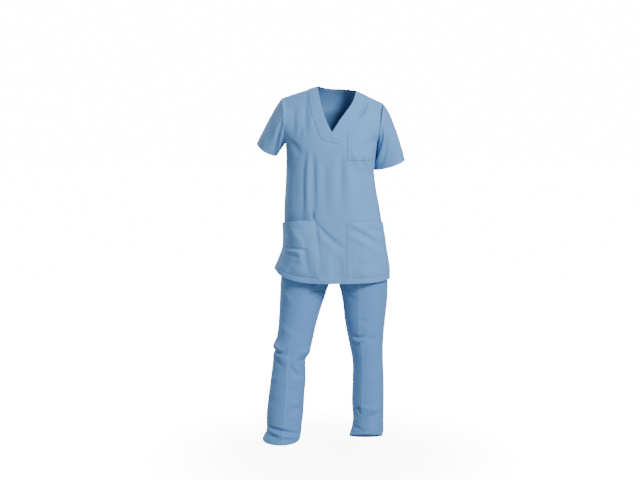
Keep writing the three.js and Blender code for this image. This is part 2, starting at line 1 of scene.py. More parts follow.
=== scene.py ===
# Medical scrubs in the pose of wear: a V-neck tunic with three patch pockets over straight trousers.
# Tables are in millimetres, x to the wearer's left and z up, and meshes are made in metres.
import math
import bmesh
import bpy
import numpy as np
from mathutils import Matrix, Vector


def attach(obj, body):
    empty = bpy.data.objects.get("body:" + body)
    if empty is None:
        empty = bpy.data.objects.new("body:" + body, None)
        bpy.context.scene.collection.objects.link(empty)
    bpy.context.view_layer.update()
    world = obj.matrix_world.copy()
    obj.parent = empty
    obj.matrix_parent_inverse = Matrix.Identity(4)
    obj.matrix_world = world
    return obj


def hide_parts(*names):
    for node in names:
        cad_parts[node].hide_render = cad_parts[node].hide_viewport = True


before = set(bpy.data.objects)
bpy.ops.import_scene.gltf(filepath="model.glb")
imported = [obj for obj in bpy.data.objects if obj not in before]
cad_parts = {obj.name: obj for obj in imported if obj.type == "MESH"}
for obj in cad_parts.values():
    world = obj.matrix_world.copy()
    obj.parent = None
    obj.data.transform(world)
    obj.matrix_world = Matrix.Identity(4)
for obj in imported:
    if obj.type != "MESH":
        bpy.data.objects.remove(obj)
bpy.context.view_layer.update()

millimetre = 0.001
faceSign = {"front": -1, "back": 1}

cloth = {
    "thickness": 1.0,  # the cut edge that shows
    "layer": 1.4,  # how far a piece sewn onto another stands off it
    "seamDepth": 1.5,  # how far a seam pulls the cloth in
    "seamWidth": 3.2,
    "hemTurn": 22,  # turned-up edge
    "hemLift": 0.7,
    "hemRound": 1.2,
    "hemStep": (0.6, 0.35),  # where the second layer ends past the turn, and how softly
    "stitchIn": 1.5,  # how far inside a turned edge its row of stitches lies
    "stitchDepth": 0.45,  # how far a row of stitches pulls the cloth in
    "stitchWidth": 1.6,
    "foldPaintedShading": 0.05,  # painted shading of folds: how much paler a ridge is painted, and how much darker a trough, for each millimetre that the fold stands out or sinks in
    "foldPaintedShadingEnd": 4,  # past this height or depth the painted highlight and shade grow no stronger
}

# Where the cloth rubs pale: how much, and how far to each side. Along the pressed crease the pale line is
# partly its wear and partly a painted highlight of its ridge.
rub = {
    "seam": (0.4, 4), "armhole": (0.4, 5), "hemFold": (1, 2.5), "hemStitches": (0.35, 2),
    "neckEdge": (0.6, 2), "neckSeam": (0.3, 2), "pressedCrease": (1.2, 2.4),
    "pocketInner": (0.5, 2), "pocketMouth": (0.8, 2), "pocketFoot": (0.4, 2), "pocketStitches": (0.3, 2),
}

# How far off lie the points from which a surface's direction is taken.
nudge = {"across": 0.004, "height": 1, "angle": 0.02, "way": 0.01}


def tableOf(columns, rows):
    return {name: np.array([row[i] for row in rows], float) for i, name in enumerate(columns.split())}


def smoothAt(rows, key, column, at):  # a smooth curve through a table's rows
    keys, values = rows[key], rows[column]
    slopes = np.empty_like(values)
    slopes[1:-1] = (values[2:] - values[:-2]) / (keys[2:] - keys[:-2])
    slopes[0] = (values[1] - values[0]) / (keys[1] - keys[0])
    slopes[-1] = (values[-1] - values[-2]) / (keys[-1] - keys[-2])
    at = np.clip(at, keys[0], keys[-1])
    i = np.clip(np.searchsorted(keys, at, side="right") - 1, 0, len(keys) - 2)
    span = keys[i + 1] - keys[i]
    t = (at - keys[i]) / span
    start = (1 + 2 * t) * (1 - t) ** 2 * values[i] + t * (1 - t) ** 2 * span * slopes[i]
    return start + t * t * (3 - 2 * t) * values[i + 1] + t * t * (t - 1) * span * slopes[i + 1]


def mix(low, high, share):
    return low + (high - low) * share


def easeBoth(share):
    return (1 - np.cos(np.pi * share)) / 2


def unit(vectors):
    return vectors / np.maximum(np.linalg.norm(vectors, axis=-1, keepdims=True), 1e-9)


def dip(distance, width):  # 1 on a line, falling to 0 over its width
    return np.exp(-((distance / width) ** 2))


def fallsAt(distance, edge, softness):  # 1 before an edge and 0 past it
    return (1 - np.tanh((distance - edge) / softness)) / 2


def rubbed(where, distance):
    amount, width = rub[where]
    return amount * dip(distance, width)


def paintedFoldShading(height):  # painted highlight on fold ridges and painted shade in fold troughs
    return cloth["foldPaintedShading"] * np.clip(height, -cloth["foldPaintedShadingEnd"], cloth["foldPaintedShadingEnd"])


creaseColumns = "x1 z1 x2 z2 width height bow"
creaseShape = {
    "lean": 0.3,  # how much steeper one side is than the other
    "startWidth": 0.75,
    "widening": 0.5,
    "startDepth": 0.3,
    "skew": 0.8,
    "fade": 0.7,  # how soon it ends, as a share of its width
}


def creaseHeight(creases, x, z):
    # Each crease is a soft ridge (+) or trough (-), deepest just before its middle, steeper on one side.
    total = np.zeros(np.broadcast(x, z).shape)
    for i in range(len(creases["x1"])):
        x1, z1, x2, z2, width, height, bow = (creases[name][i] for name in creaseColumns.split())
        dx, dz = x2 - x1, z2 - z1
        length = math.hypot(dx, dz)
        along = ((x - x1) * dx + (z - z1) * dz) / length**2
        t = np.clip(along, 0, 1)
        aside = ((x - x1) * dz - (z - z1) * dx) / length - bow * 4 * t * (1 - t)
        wide = width * (1 + creaseShape["lean"] * np.tanh(aside / width))
        wide = wide * (creaseShape["startWidth"] + creaseShape["widening"] * t)
        past = (along - t) * length
        swell = np.sin(np.pi * t ** creaseShape["skew"]) ** creaseShape["skew"]
        depth = mix(creaseShape["startDepth"], 1, swell)
        total += height * depth * dip(aside, wide) * dip(past, creaseShape["fade"] * width)
    return total


# Slack that plain weave shows between its creases: the height of two crossed waves, and for each its
# lengths in x and z and its start.
slackWaves = [(0.7, (41, 97, 1.3), (-120, 63, 0.4)), (0.3, (19, -47, 0), (83, 29, 2.1))]


def unevenness(x, z):
    total = 0
    for height, *waves in slackWaves:
        for lengthX, lengthZ, start in waves:
            height = height * np.sin(x / lengthX + z / lengthZ + start)
        total = total + height
    return total


# Tunic

tunic = {
    "armpitZ": -205,
    "tipZ": {"right": -33, "left": -59},
    "armholeReach": {"front": 66, "back": 72},
    "straightZ": {"front": -230, "back": -150},  # above this the cloth slopes to the shoulder line
    "slopePower": {"front": 1.6, "back": 2.2},
    "sectionPower": 2.4,
    "armholeRound": {"atEdge": 0.5, "furtherIn": 1.8, "fade": 1.7},
    "foldFade": {"side": 8, "shoulder": 9},  # powers that take the folds away at the seams
    "seamPull": {"yoke": 0.5, "armhole": 0.6},  # shares of a side seam's depth
    "seamReach": 9,  # how near a side seam or shoulder seam layers start to lie square to it
    "runZ": -500,  # where the run from side seam to side seam is measured
    "topRounds": 8,  # repeats that find where a column meets the shoulder line
    "stitchEnds": 0.03,  # turn left free at either end of the hem's stitches
    "columns": 112,
    "bodyRows": 92,
    "yokeRows": 44,
}

tunicRows = tableOf("z right left front back", [
    (-745, -232, 222, 137, 134),
    (-690, -228, 219, 136, 133),
    (-653, -211, 213, 134, 133),
    (-611, -194, 205, 132, 130),
    (-569, -188, 199, 129, 125),
    (-509, -188, 189, 125, 113),
    (-443, -187, 178, 122, 103),
    (-381, -183, 166, 122, 102),
    (-318, -180, 158, 124, 107),
    (-290, -179.5, 159.5, 124.5, 110),
    (-260, -179, 162.5, 125, 114),
    (-230, -180, 166.5, 123.5, 115),
    (-205, -182, 171, 122, 116),
    (-165, -186, 176, 120, 114),
    (-120, -187, 182, 120, 112),
    (-80, -187, 188, 120, 110),
    (-33, -192, 197, 120, 108),
    (12, -193, 203, 120, 108),
])

shoulderLine = tableOf("x z", [
    (-215, -40), (-192, -33), (-97, -2), (-57.6, 10), (15, 26), (88, -7), (132, -27), (202, -59), (230, -70),
])

tunicHem = {
    "front": tableOf("u z", [
        (-1, -691), (-0.985, -688), (-0.95, -692), (-0.9, -702), (-0.78, -714), (-0.54, -726),
        (-0.25, -731), (0.3, -731), (0.75, -729), (1, -724),
    ]),
    "back": tableOf("u z", [(-1, -689), (-0.85, -712), (-0.5, -730), (0, -738), (0.6, -735), (1, -724)]),
}

tunicCreases = {
    "front": tableOf(creaseColumns, [
        (-100, -232, -112, -360, 10, -3.6, 3),
        (-112, -350, -117, -500, 11, -3.2, -2),
        (-92, -240, -95, -480, 12, 4.2, 2),
        (-74, -255, -73, -490, 10, -5.2, -2),
        (-52, -264, -50, -450, 15, 2.8, 2),
        (34, -245, 30, -430, 13, -4.2, 2),
        (58, -290, 66, -480, 18, 5.2, -3),
        (77, -236, 118, -306, 11, 5.85, 4),
        (104, -258, 142, -332, 11, -5.85, 3),
        (120, -350, 128, -490, 20, -4.55, 3),
        (-156, -320, -160, -470, 20, 1.5, 2),
        (-110, -290, -114, -498, 6, -1.8, -1),
        (-100, -30, -101, -176, 9, -4.2, 3),
        (-78, -95, -80, -150, 8, 3.1, 1),
        (133, -46, 88, -114, 8, -11, -3),
        (90, -110, 66, -162, 9, -3.2, 2),
        (147, -66, 106, -130, 10, 3.2, -3),
        (-146, -74, -148, -186, 12, -4.6, 2),
        (-118, -150, -126, -192, 8, -3.38, 1),
        (164, -186, 116, -236, 12, -6.5, 4),
        (-168, -192, -124, -244, 12, -6.5, -4),
        (-62, -506, 42, -602, 10, -6.4, 5),
        (-54, -534, 22, -610, 13, 3.2, 5),
        (-65, -500, -45, -704, 6, -5.4, -2),
        (-77, -460, -74, -500, 6, -8.4, 1),
        (-86, -452, -83, -486, 5, 3.8, 1),
        (-106, -560, -92, -722, 20, -7, 2),
        (-58, -556, -45, -722, 11, 3.6, 2),
        (-16, -628, -22, -738, 22, 5.85, 2),
        (24, -630, 30, -738, 17, -5.2, 2),
        (120, -610, 128, -738, 24, 5.85, 3),
        (-176, -690, -120, -636, 13, -5.85, 3),
        (-30, -300, -24, -470, 16, -3.12, 2),
        (4, -260, 2, -440, 15, 2.86, -2),
        (88, -350, 96, -470, 13, 3.12, 2),
    ]),
    "back": tableOf(creaseColumns, [
        (-88, -175, -98, -420, 13, -8.2, 4),
        (84, -185, 96, -436, 12, -7.6, -5),
        (-58, -214, -62, -450, 13, 6.2, 3),
        (52, -206, 58, -420, 12, 6, -3),
        (-12, -260, -20, -520, 12, -6.6, 4),
        (-152, -376, -62, -452, 15, -6.5, -6),
        (152, -366, 62, -454, 15, -6.5, 6),
        (-140, -420, -60, -486, 14, 5.2, -5),
        (136, -424, 66, -492, 14, 5.2, 5),
        (-120, -550, -132, -738, 25, 7.15, 3),
        (-60, -590, -70, -740, 17, -6.5, 3),
        (10, -580, 8, -740, 25, 6.5, -3),
        (82, -600, 96, -740, 16, -6.8, 3),
        (150, -550, 160, -738, 23, 7.15, 3),
        (-152, -84, -104, -178, 10, -7, 5),
        (156, -106, 106, -192, 10, -6.6, -5),
        (-60, -80, 50, -84, 16, -3.25, 5),
        (18, -330, 26, -500, 11, 4.6, -3),
        (-128, -232, -136, -350, 11, -4.8, 3),
        (128, -250, 132, -372, 12, -4.4, -3),
    ]),
}


def tunicSide(z):
    return smoothAt(tunicRows, "z", "right", z), smoothAt(tunicRows, "z", "left", z)


def armholeDepth(face, u, z, inset):
    tip = np.where(u < 0, tunic["tipZ"]["right"], tunic["tipZ"]["left"])
    share = np.clip((z - tunic["armpitZ"]) / (tip - tunic["armpitZ"]), 0, 1)
    # Half round at the armhole itself, where the section is shallow, and a soft swell further in.
    shape = tunic["armholeRound"]
    arch = (4 * share * (1 - share)) ** (shape["atEdge"] + shape["furtherIn"] * inset)
    return tunic["armholeReach"][face] * arch * (1 - inset) ** shape["fade"]


def tunicSurface(face, turn, z):
    # turn runs round the body from the right side seam, 0, to the left one, pi.
    u = -np.cos(turn)
    right, left = tunicSide(z)
    x = mix(right, left, (u + 1) / 2)
    low, power = tunic["straightZ"][face], tunic["slopePower"][face]
    share = np.clip((z - low) / (smoothAt(shoulderLine, "x", "z", x) - low), 0, 1)
    middle = smoothAt(tunicRows, "z", face, z) * (1 - share**power) ** (1 / power)
    inset = np.maximum(1 - np.abs(u) ** tunic["sectionPower"], 0) ** (1 / tunic["sectionPower"])
    depth = middle * inset + armholeDepth(face, u, z, inset)
    fade = (1 - u ** tunic["foldFade"]["side"]) * (1 - share ** tunic["foldFade"]["shoulder"])
    height = (creaseHeight(tunicCreases[face], x, z) + unevenness(x, z)) * fade
    sign = faceSign[face]
    out = unit(np.stack([u**3, np.full_like(u, sign), share**3], axis=-1))
    return np.stack([x, sign * depth, z * np.ones_like(x)], axis=-1) + out * height[..., None]


def tunicNormal(face, turn, z):
    point = tunicSurface(face, turn, z)
    ahead, behind = np.minimum(turn + nudge["across"], np.pi), np.maximum(turn - nudge["across"], 0)
    top = smoothAt(shoulderLine, "x", "z", point[..., 0])
    above, below = np.minimum(z + nudge["height"], top), z - nudge["height"]
    across = tunicSurface(face, ahead, z) - tunicSurface(face, behind, z)
    upward = tunicSurface(face, turn, above) - tunicSurface(face, turn, below)
    normal = unit(np.cross(across, upward)) * -faceSign[face]
    # Front and back keep meeting at their seams, however far a layer is lifted off them.
    normal[..., 1] *= np.clip(np.abs(point[..., 1]) / tunic["seamReach"], 0, 1)
    return unit(normal)


def onTunic(face, turn, z, lift):
    return tunicSurface(face, turn, z) + tunicNormal(face, turn, z) * np.asarray(lift)[..., None]


def turnAt(x, z):  # the turn whose point lies at x on that height
    right, left = tunicSide(z)
    u = 2 * (x - right) / (left - right) - 1
    return np.arccos(np.clip(-u, -1, 1))


# Meshes

def placed(values, count):  # a grid vertex's -1 to 1 place as a row or column number
    return np.rint((np.array(values) + 1) / 2 * (count - 1)).astype(int)


def clothGrid(columns, rows, place, flat, facing=None, closedAround=False):
    # A grid of cloth laid over the surface that place gives for its column and row values.
    bm = bmesh.new()
    pattern = bm.loops.layers.uv.new("UVMap")
    bmesh.ops.create_grid(bm, x_segments=len(columns) - 1, y_segments=len(rows) - 1, size=1, calc_uvs=True)
    column = placed([v.co.x for v in bm.verts], len(columns))
    row = placed([v.co.y for v in bm.verts], len(rows))
    points, wear = place(np.array(columns)[column], np.array(rows)[row])
    # Each vertex keeps its wear at seams, hems and edges, and the painted shading of its folds.
    wornAndPaintedShading = bm.verts.layers.float.new("wear")
    for v, point, amount in zip(bm.verts, points * millimetre, wear):
        v.co = point
        v[wornAndPaintedShading] = amount
    bm.verts.index_update()
    across = column / (len(columns) - 1) * flat[0]
    along = row / (len(rows) - 1) * flat[1]
    for f in bm.faces:
        for loop in f.loops:
            loop[pattern].uv = (across[loop.vert.index], along[loop.vert.index])
    bm.normal_update()
    middles = [Vector(points[row == r].mean(axis=0)) * millimetre for r in range(len(rows))]
    total = 0
    for f in bm.faces:
        outward = facing or f.calc_center_median() - middles[row[f.verts[0].index]]
        total += f.calc_area() * f.normal.dot(outward)
    if total < 0:
        bmesh.ops.reverse_faces(bm, faces=bm.faces[:])
    if closedAround:
        bmesh.ops.remove_doubles(bm, verts=bm.verts[:], dist=1e-5)
    return bm


def insideOutline(x, z, outline):
    inside = False
    for (x1, z1), (x2, z2) in zip(outline, outline[1:] + outline[:1]):
        if (z1 > z) != (z2 > z) and x < (x2 - x1) * (z - z1) / (z2 - z1) + x1:
            inside = not inside
    return inside


def cutOut(bm, outline, reach=9):
    # Cuts the cloth along an outline seen from the front, and takes away what lies inside it.
    for (x1, z1), (x2, z2) in zip(outline, outline[1:]):
        length = math.hypot(x2 - x1, z2 - z1)
        alongX, alongZ = (x2 - x1) / length, (z2 - z1) / length
        near = []
        for f in bm.faces:
            centre = f.calc_center_median() / millimetre
            along = (centre.x - x1) * alongX + (centre.z - z1) * alongZ
            aside = (centre.x - x1) * alongZ - (centre.z - z1) * alongX
            if -reach < along < length + reach and abs(aside) < reach:
                near.append(f)
        geometry = list({e for f in near for e in f.edges}) + list({v for f in near for v in f.verts}) + near
        bmesh.ops.bisect_plane(
            bm, geom=geometry, dist=1e-6,
            plane_co=Vector((x1, 0, z1)) * millimetre, plane_no=Vector((alongZ, 0, -alongX)),
        )
    gone = []
    for f in bm.faces:
        centre = f.calc_center_median() / millimetre
        if insideOutline(centre.x, centre.z, outline):
            gone.append(f)
    bmesh.ops.delete(bm, geom=gone, context="FACES")


def meshObject(name, bm, material):
    mesh = bpy.data.meshes.new(name)
    bm.to_mesh(mesh)
    bm.free()
    mesh.materials.append(material)
    piece = bpy.data.objects.new(name, mesh)
    bpy.context.scene.collection.objects.link(piece)
    return piece


def finishCloth(node, bm, garment="tunic"):
    material, slotName = garments[garment]
    piece = meshObject(node + "_cloth", bm, material)
    piece.data.shade_smooth()
    shell = piece.modifiers.new("Cloth", "SOLIDIFY")
    shell.thickness = cloth["thickness"] * millimetre
    shell.offset = -1
    shell.use_even_offset = False
    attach(piece, "root")
    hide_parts(node)
    return piece


# Rows along an edge that is turned up and held by a row of stitches, by their distance from the edge.
hemRows = [0, 0.8, 2, 6, 11, 16, 18.5, 19.7, 20.5, 21.3, 22.2, 23, 24, 26]
seamRows = [0, 1, 2.2, 3.6, 5.5, 8]  # beside a seam
stretch = 1000  # between such rows, row values run on in thousandths of the way


def hemLift(distance, turned=None):
    turned = turned or cloth["hemTurn"]
    past, softness = cloth["hemStep"]
    doubled = (1 - dip(distance, cloth["hemRound"])) * fallsAt(distance, turned + past, softness)
    stitched = dip(distance - turned + cloth["stitchIn"], cloth["stitchWidth"])
    return cloth["hemLift"] * doubled - cloth["stitchDepth"] * stitched


def seamLift(distance):
    return -cloth["seamDepth"] * dip(distance, cloth["seamWidth"])


def hemWear(distance, turned=None):
    turned = turned or cloth["hemTurn"]
    return rubbed("hemFold", distance) + rubbed("hemStitches", distance - turned + cloth["stitchIn"])


def evenly(start, end, step):
    return np.linspace(start, end, max(int(round(abs(end - start) / step)), 1) + 1)


stitch = {"length": 2.7, "pitch": 3.6, "width": 0.55, "proud": 0.3}
seams = []  # rows of stitches: points on the cloth and the directions square to it


def sew(points, normals, garment="tunic"):
    seams.append((garment, points + normals * stitch["proud"] / 2, normals))


# Cloth, thread and their wear

def setSockets(tree, node, sockets):  # each to a value, or to another node's output
    for key, value in sockets.items():
        if isinstance(value, bpy.types.NodeSocket):
            tree.links.new(value, node.inputs[key])
        else:
            node.inputs[key].default_value = value


def addNode(tree, kind, sockets, **traits):
    node = tree.nodes.new(kind)
    for trait, value in traits.items():
        setattr(node, trait, value)
    setSockets(tree, node, sockets)
    return node


def calculate(tree, operation, first, second):
    return addNode(tree, "ShaderNodeMath", {0: first, 1: second}, operation=operation).outputs[0]


def nodeGroup(name, inputs, outputs):
    group = bpy.data.node_groups.new(name, "ShaderNodeTree")
    for socketName, kind, value in inputs:
        socket = group.interface.new_socket(socketName, in_out="INPUT", socket_type=kind)
        socket.default_value = value
    for socketName, kind in outputs:
        group.interface.new_socket(socketName, in_out="OUTPUT", socket_type=kind)
    return group, group.nodes.new("NodeGroupInput"), group.nodes.new("NodeGroupOutput")


weaving = {"distortion": 0.6, "detail": 1.0, "detailScale": 0.8, "slub": (900, 60, 60), "slubDetail": 2.0}


def weaveGroup():
    # Plain weave: warp and weft threads that pass over each other, with a few thick ones.
    group, into, out = nodeGroup(
        "plainWeave",
        [("Cloth", "NodeSocketVector", (0, 0, 0)), ("Thread", "NodeSocketFloat", 350.0)],
        [("Height", "NodeSocketFloat"), ("Slub", "NodeSocketFloat")],
    )
    waves = []
    for direction in ("X", "Y"):
        wave = addNode(group, "ShaderNodeTexWave", {
            "Vector": into.outputs["Cloth"],
            "Scale": into.outputs["Thread"],
            "Distortion": weaving["distortion"],
            "Detail": weaving["detail"],
            "Detail Scale": weaving["detailScale"],
        }, wave_type="BANDS", bands_direction=direction)
        waves.append(wave.outputs["Fac"])
    both = calculate(group, "ADD", *waves)
    stretched = addNode(
        group, "ShaderNodeVectorMath", {0: into.outputs["Cloth"], 1: weaving["slub"]}, operation="MULTIPLY",
    )
    slub = addNode(group, "ShaderNodeTexNoise", {
        "Vector": stretched.outputs[0], "Scale": 1.0, "Detail": weaving["slubDetail"],
    })
    setSockets(group, out, {
        "Height": calculate(group, "MULTIPLY", both, 0.5),
        "Slub": slub.outputs["Fac"],
    })
    return group


washing = {
    "cloudScale": 9.0, "cloudDetail": 4.0, "slub": 0.08, "wear": 0.16, "roughness": 0.84, "roughClouds": 1.2,
}


def washGroup():
    # Colour after many washes: cloudy, paler where it rubs and a little deeper between the slubs, and
    # painted lighter on fold ridges and darker in fold troughs.
    group, into, out = nodeGroup(
        "washedColour",
        [
            ("Colour", "NodeSocketColor", (0.2, 0.3, 0.5, 1)),
            ("Place", "NodeSocketVector", (0, 0, 0)),
            ("Slub", "NodeSocketFloat", 0.5),
            ("WearAndPaintedShading", "NodeSocketFloat", 0.0),
            ("Cloudiness", "NodeSocketFloat", 0.06),
        ],
        [("Colour", "NodeSocketColor"), ("Roughness", "NodeSocketFloat")],
    )

    def about(value, amount):  # how far a value is from its middle, as a share of the brightness
        return calculate(group, "MULTIPLY", calculate(group, "SUBTRACT", value, 0.5), amount)

    clouds = addNode(group, "ShaderNodeTexNoise", {
        "Vector": into.outputs["Place"], "Scale": washing["cloudScale"], "Detail": washing["cloudDetail"],
    })
    cloudy = about(clouds.outputs["Fac"], into.outputs["Cloudiness"])
    wornAndPaintedShading = calculate(group, "MULTIPLY", into.outputs["WearAndPaintedShading"], washing["wear"])
    brightness = calculate(group, "ADD", cloudy, about(into.outputs["Slub"], washing["slub"]))
    brightness = calculate(group, "ADD", calculate(group, "ADD", brightness, wornAndPaintedShading), 1.0)
    scaled = addNode(
        group, "ShaderNodeVectorMath", {0: into.outputs["Colour"], "Scale": brightness}, operation="SCALE",
    )
    rough = calculate(group, "MULTIPLY", cloudy, washing["roughClouds"])
    setSockets(group, out, {
        "Colour": scaled.outputs[0],
        "Roughness": calculate(group, "ADD", rough, washing["roughness"]),
    })
    return group


weave = weaveGroup()
wash = washGroup()

materialLooks = {
    "tunicCloth": {"colour": (0.118, 0.278, 0.547, 1), "cloudiness": 0.07, "thread": 330.0, "bump": 0.25},
    "trouserCloth": {"colour": (0.094, 0.233, 0.5, 1), "cloudiness": 0.08, "thread": 330.0, "bump": 0.25},
    "thread": {"colour": (0.118, 0.272, 0.525, 1), "cloudiness": 0.05, "thread": 900.0, "bump": 0.3},
    "crumple": {"Scale": 55.0, "Detail": 3.0},
    "crumpleBump": {"Strength": 0.22, "Distance": 0.0012},
    "threadDepth": 0.0002,
    "surface": {"Specular IOR Level": 0.2, "Sheen Weight": 0.08, "Sheen Roughness": 0.5},
}


def clothMaterial(name):
    looks = materialLooks[name]
    material = bpy.data.materials.new(name)
    material.use_nodes = True
    tree = material.node_tree
    place = tree.nodes.new("ShaderNodeTexCoord").outputs
    threads = addNode(tree, "ShaderNodeGroup", {
        "Cloth": place["Object" if name == "thread" else "UV"], "Thread": looks["thread"],
    }, node_tree=weave)
    washed = addNode(tree, "ShaderNodeGroup", {
        "Colour": looks["colour"],
        "Cloudiness": looks["cloudiness"],
        "Place": place["Object"],
        "Slub": threads.outputs["Slub"],
    }, node_tree=wash)
    if name != "thread":
        # This attribute holds real wear at seams, hems and edges, plus painted highlight on fold ridges and
        # painted shade in fold troughs.
        wear = addNode(tree, "ShaderNodeAttribute", {}, attribute_name="wear")
        tree.links.new(wear.outputs["Fac"], washed.inputs["WearAndPaintedShading"])
    crumple = addNode(tree, "ShaderNodeTexNoise", {"Vector": place["Object"], **materialLooks["crumple"]})
    slack = addNode(
        tree, "ShaderNodeBump", {"Height": crumple.outputs["Fac"], **materialLooks["crumpleBump"]},
    )
    relief = addNode(tree, "ShaderNodeBump", {
        "Height": threads.outputs["Height"],
        "Normal": slack.outputs["Normal"],
        "Strength": looks["bump"],
        "Distance": materialLooks["threadDepth"],
    })
    setSockets(tree, tree.nodes["Principled BSDF"], {
        "Base Color": washed.outputs["Colour"],
        "Roughness": washed.outputs["Roughness"],
        "Normal": relief.outputs["Normal"],
        **materialLooks["surface"],
    })
    return material


garments = {
    "tunic": (clothMaterial("tunicCloth"), "tunic_cloth"),
    "trousers": (clothMaterial("trouserCloth"), "trouser_cloth"),
}
threadMaterial = clothMaterial("thread")
print("cloth and thread ready")


# Tunic front and back

# Row values: distance from the hem, then thousandths of the way to the armpit and on to the shoulder.
yokeStart = hemRows[-1] + stretch
yokeEnd = yokeStart + stretch


def columnTop(turn):
    u = -np.cos(turn)
    top = smoothAt(shoulderLine, "x", "z", tunicRows["left"][-1] * u)
    # The width depends on the height, and the height on the width.
    for _ in range(tunic["topRounds"]):
        right, left = tunicSide(top)
        top = smoothAt(shoulderLine, "x", "z", mix(right, left, (u + 1) / 2))
    top = np.where(turn < 1e-6, tunic["tipZ"]["right"], top)
    return np.where(turn > np.pi - 1e-6, tunic["tipZ"]["left"], top)


def panelHeight(face, turn, row):
    hem = smoothAt(tunicHem[face], "u", "z", -np.cos(turn))
    body = mix(hem + hemRows[-1], tunic["armpitZ"], np.clip((row - hemRows[-1]) / stretch, 0, 1))
    yoke = mix(tunic["armpitZ"], columnTop(turn), easeBoth(np.clip((row - yokeStart) / stretch, 0, 1)))
    return np.where(row <= hemRows[-1], hem + row, np.where(row <= yokeStart, body, yoke))


def clothRun(face):  # how far along the cloth each turn lies from the right side seam
    turns = np.linspace(0, np.pi, 2001)
    ring = tunicSurface(face, turns, np.full_like(turns, tunic["runZ"]))
    steps = np.linalg.norm(np.diff(ring, axis=0), axis=1)
    return turns, np.concatenate([[0], np.cumsum(steps)])


def seamColumns(run, count):
    inner = np.linspace(seamRows[-1] + 3, run - seamRows[-1] - 3, count)
    return np.concatenate([seamRows, inner, run - np.array(seamRows[::-1])])


neckColumns = "edgeX edgeZ seamX seamZ"


def bandOf(rows):  # a neckband piece: the neck's edge, then the seam, at each step along it
    band = tableOf(neckColumns, rows)
    middleX, middleZ = (band["edgeX"] + band["seamX"]) / 2, (band["edgeZ"] + band["seamZ"]) / 2
    band["run"] = np.concatenate([[0], np.cumsum(np.hypot(np.diff(middleX), np.diff(middleZ)))])
    return band


bands = {
    "right": bandOf([
        (-57.6, 10, -97, -2),
        (-54, -18, -93, -31),
        (-48, -48, -88, -60),
        (-39, -82, -80, -91),
        (-29, -114, -71, -122),
        (-17, -140, -59, -154),
        (-5, -163, -47, -180),
        (6, -172, -32, -194),
        (20, -177, -6, -200),
        (31.5, -181, 20, -206),
    ]),
    "left": bandOf([
        (88, -7, 132, -27),
        (82, -26, 126, -43),
        (75.6, -44.5, 118, -61),
        (66, -61, 107, -79),
        (56, -75.5, 95, -97),
        (40, -97, 79, -118),
        (24.6, -117.5, 64, -138),
        (10, -140, 49, -158),
        (-5, -163, 35.5, -175),
        (-15, -171.5, 31, -184),
        (-25, -179, 26, -195),
    ]),
    "back": bandOf([
        (-57.6, 10, -97, -2),
        (-50, 8.5, -90, -18),
        (-35, 5, -66, -34),
        (-10, 1.5, -25, -43),
        (15, 0.5, 15, -46),
        (40, -0.5, 58, -48),
        (65, -3, 100, -46),
        (80, -5.5, 124, -38),
        (88, -7, 132, -27),
    ]),
}

neckband = {
    "width": 42,
    "underlap": {"front": 0.3, "back": 0.88},  # share of the band's width that the panel runs on under it
    "cutAbove": 60,  # how far past the shoulder the neck is cut out
    "puff": 0.5,
    "stitchShares": (0.07, 0.93),
    "stitchWidth": 1.8,
    "stitchEnds": 2,
    "end": {"depth": 0.8, "width": 3},  # how a piece is pulled in at the seam at its end
    "shoulderZ": -40,  # a piece's end above this height lies on the shoulder seam
    "shoulderEase": 6,
    # Between these heights the left piece rises over the right one.
    "crossing": {"from": -112, "to": -150, "lift": 1.7, "depth": 0.5, "width": 1.5},
    "ends": [0, 0.1, 0.3, 0.6, 1, 1.5, 2.2, 3.1, 4.3],
    "firstStep": 6,
    "step": 3.2,
    "across": [0, 0.02, 0.05, 0.09, 0.14, 0.22, 0.32, 0.44, 0.56, 0.68, 0.78, 0.86, 0.91, 0.95, 0.98, 1],
}


def underBand(rows, face):
    share = neckband["underlap"][face]
    return list(zip(mix(rows["seamX"], rows["edgeX"], share), mix(rows["seamZ"], rows["edgeZ"], share)))


def neckOutline(face):
    if face == "back":
        line = underBand(bands["back"], face)
    else:
        line = underBand(bands["right"], face)[:-1] + underBand(bands["left"], face)[-2::-1]
    above = [(x, z + neckband["cutAbove"]) for x, z in (line[0], line[-1])]
    return [above[0], *line, above[1]]


def tunicPanel(face, flat):
    turns, run = clothRun(face)
    columns = np.interp(seamColumns(run[-1], tunic["columns"]), run, turns)
    body = np.linspace(hemRows[-1], yokeStart, tunic["bodyRows"] + 1)[1:]
    yoke = np.linspace(yokeStart, yokeEnd, tunic["yokeRows"] + 1)[1:]

    def place(turn, row):
        z = panelHeight(face, turn, row)
        point = tunicSurface(face, turn, z)
        fromSeam = np.interp(turn, turns, run)
        fromSeam = np.minimum(fromSeam, run[-1] - fromSeam)
        inHem, inYoke = row <= hemRows[-1], row > yokeStart
        fromArmhole = np.where(inYoke, np.abs(point[:, 1]), np.inf)
        pull = tunic["seamPull"]
        lift = np.where(inYoke, pull["yoke"], 1) * seamLift(fromSeam)
        lift = lift + pull["armhole"] * seamLift(fromArmhole) + np.where(inHem, hemLift(row), 0)
        wear = rubbed("seam", fromSeam) + rubbed("armhole", fromArmhole) + np.where(inHem, hemWear(row), 0)
        # Fold ridges are painted lighter and troughs darker: painted highlight and shade.
        wear = wear + paintedFoldShading(creaseHeight(tunicCreases[face], point[:, 0], z))
        return onTunic(face, turn, z, lift), wear

    bm = clothGrid(columns, [*hemRows, *body, *yoke], place, flat)
    cutOut(bm, neckOutline(face))
    piece = finishCloth("top_" + face, bm)
    edge = np.linspace(tunic["stitchEnds"], np.pi - tunic["stitchEnds"], 400)
    z = panelHeight(face, edge, np.full_like(edge, cloth["hemTurn"] - cloth["stitchIn"]))
    sew(onTunic(face, edge, z, 0.0 * edge), tunicNormal(face, edge, z))


tunicPanel("front", (0.62, 0.80))
tunicPanel("back", (0.60, 0.81))
print("tunic front and back cut and hemmed")


# Neckband

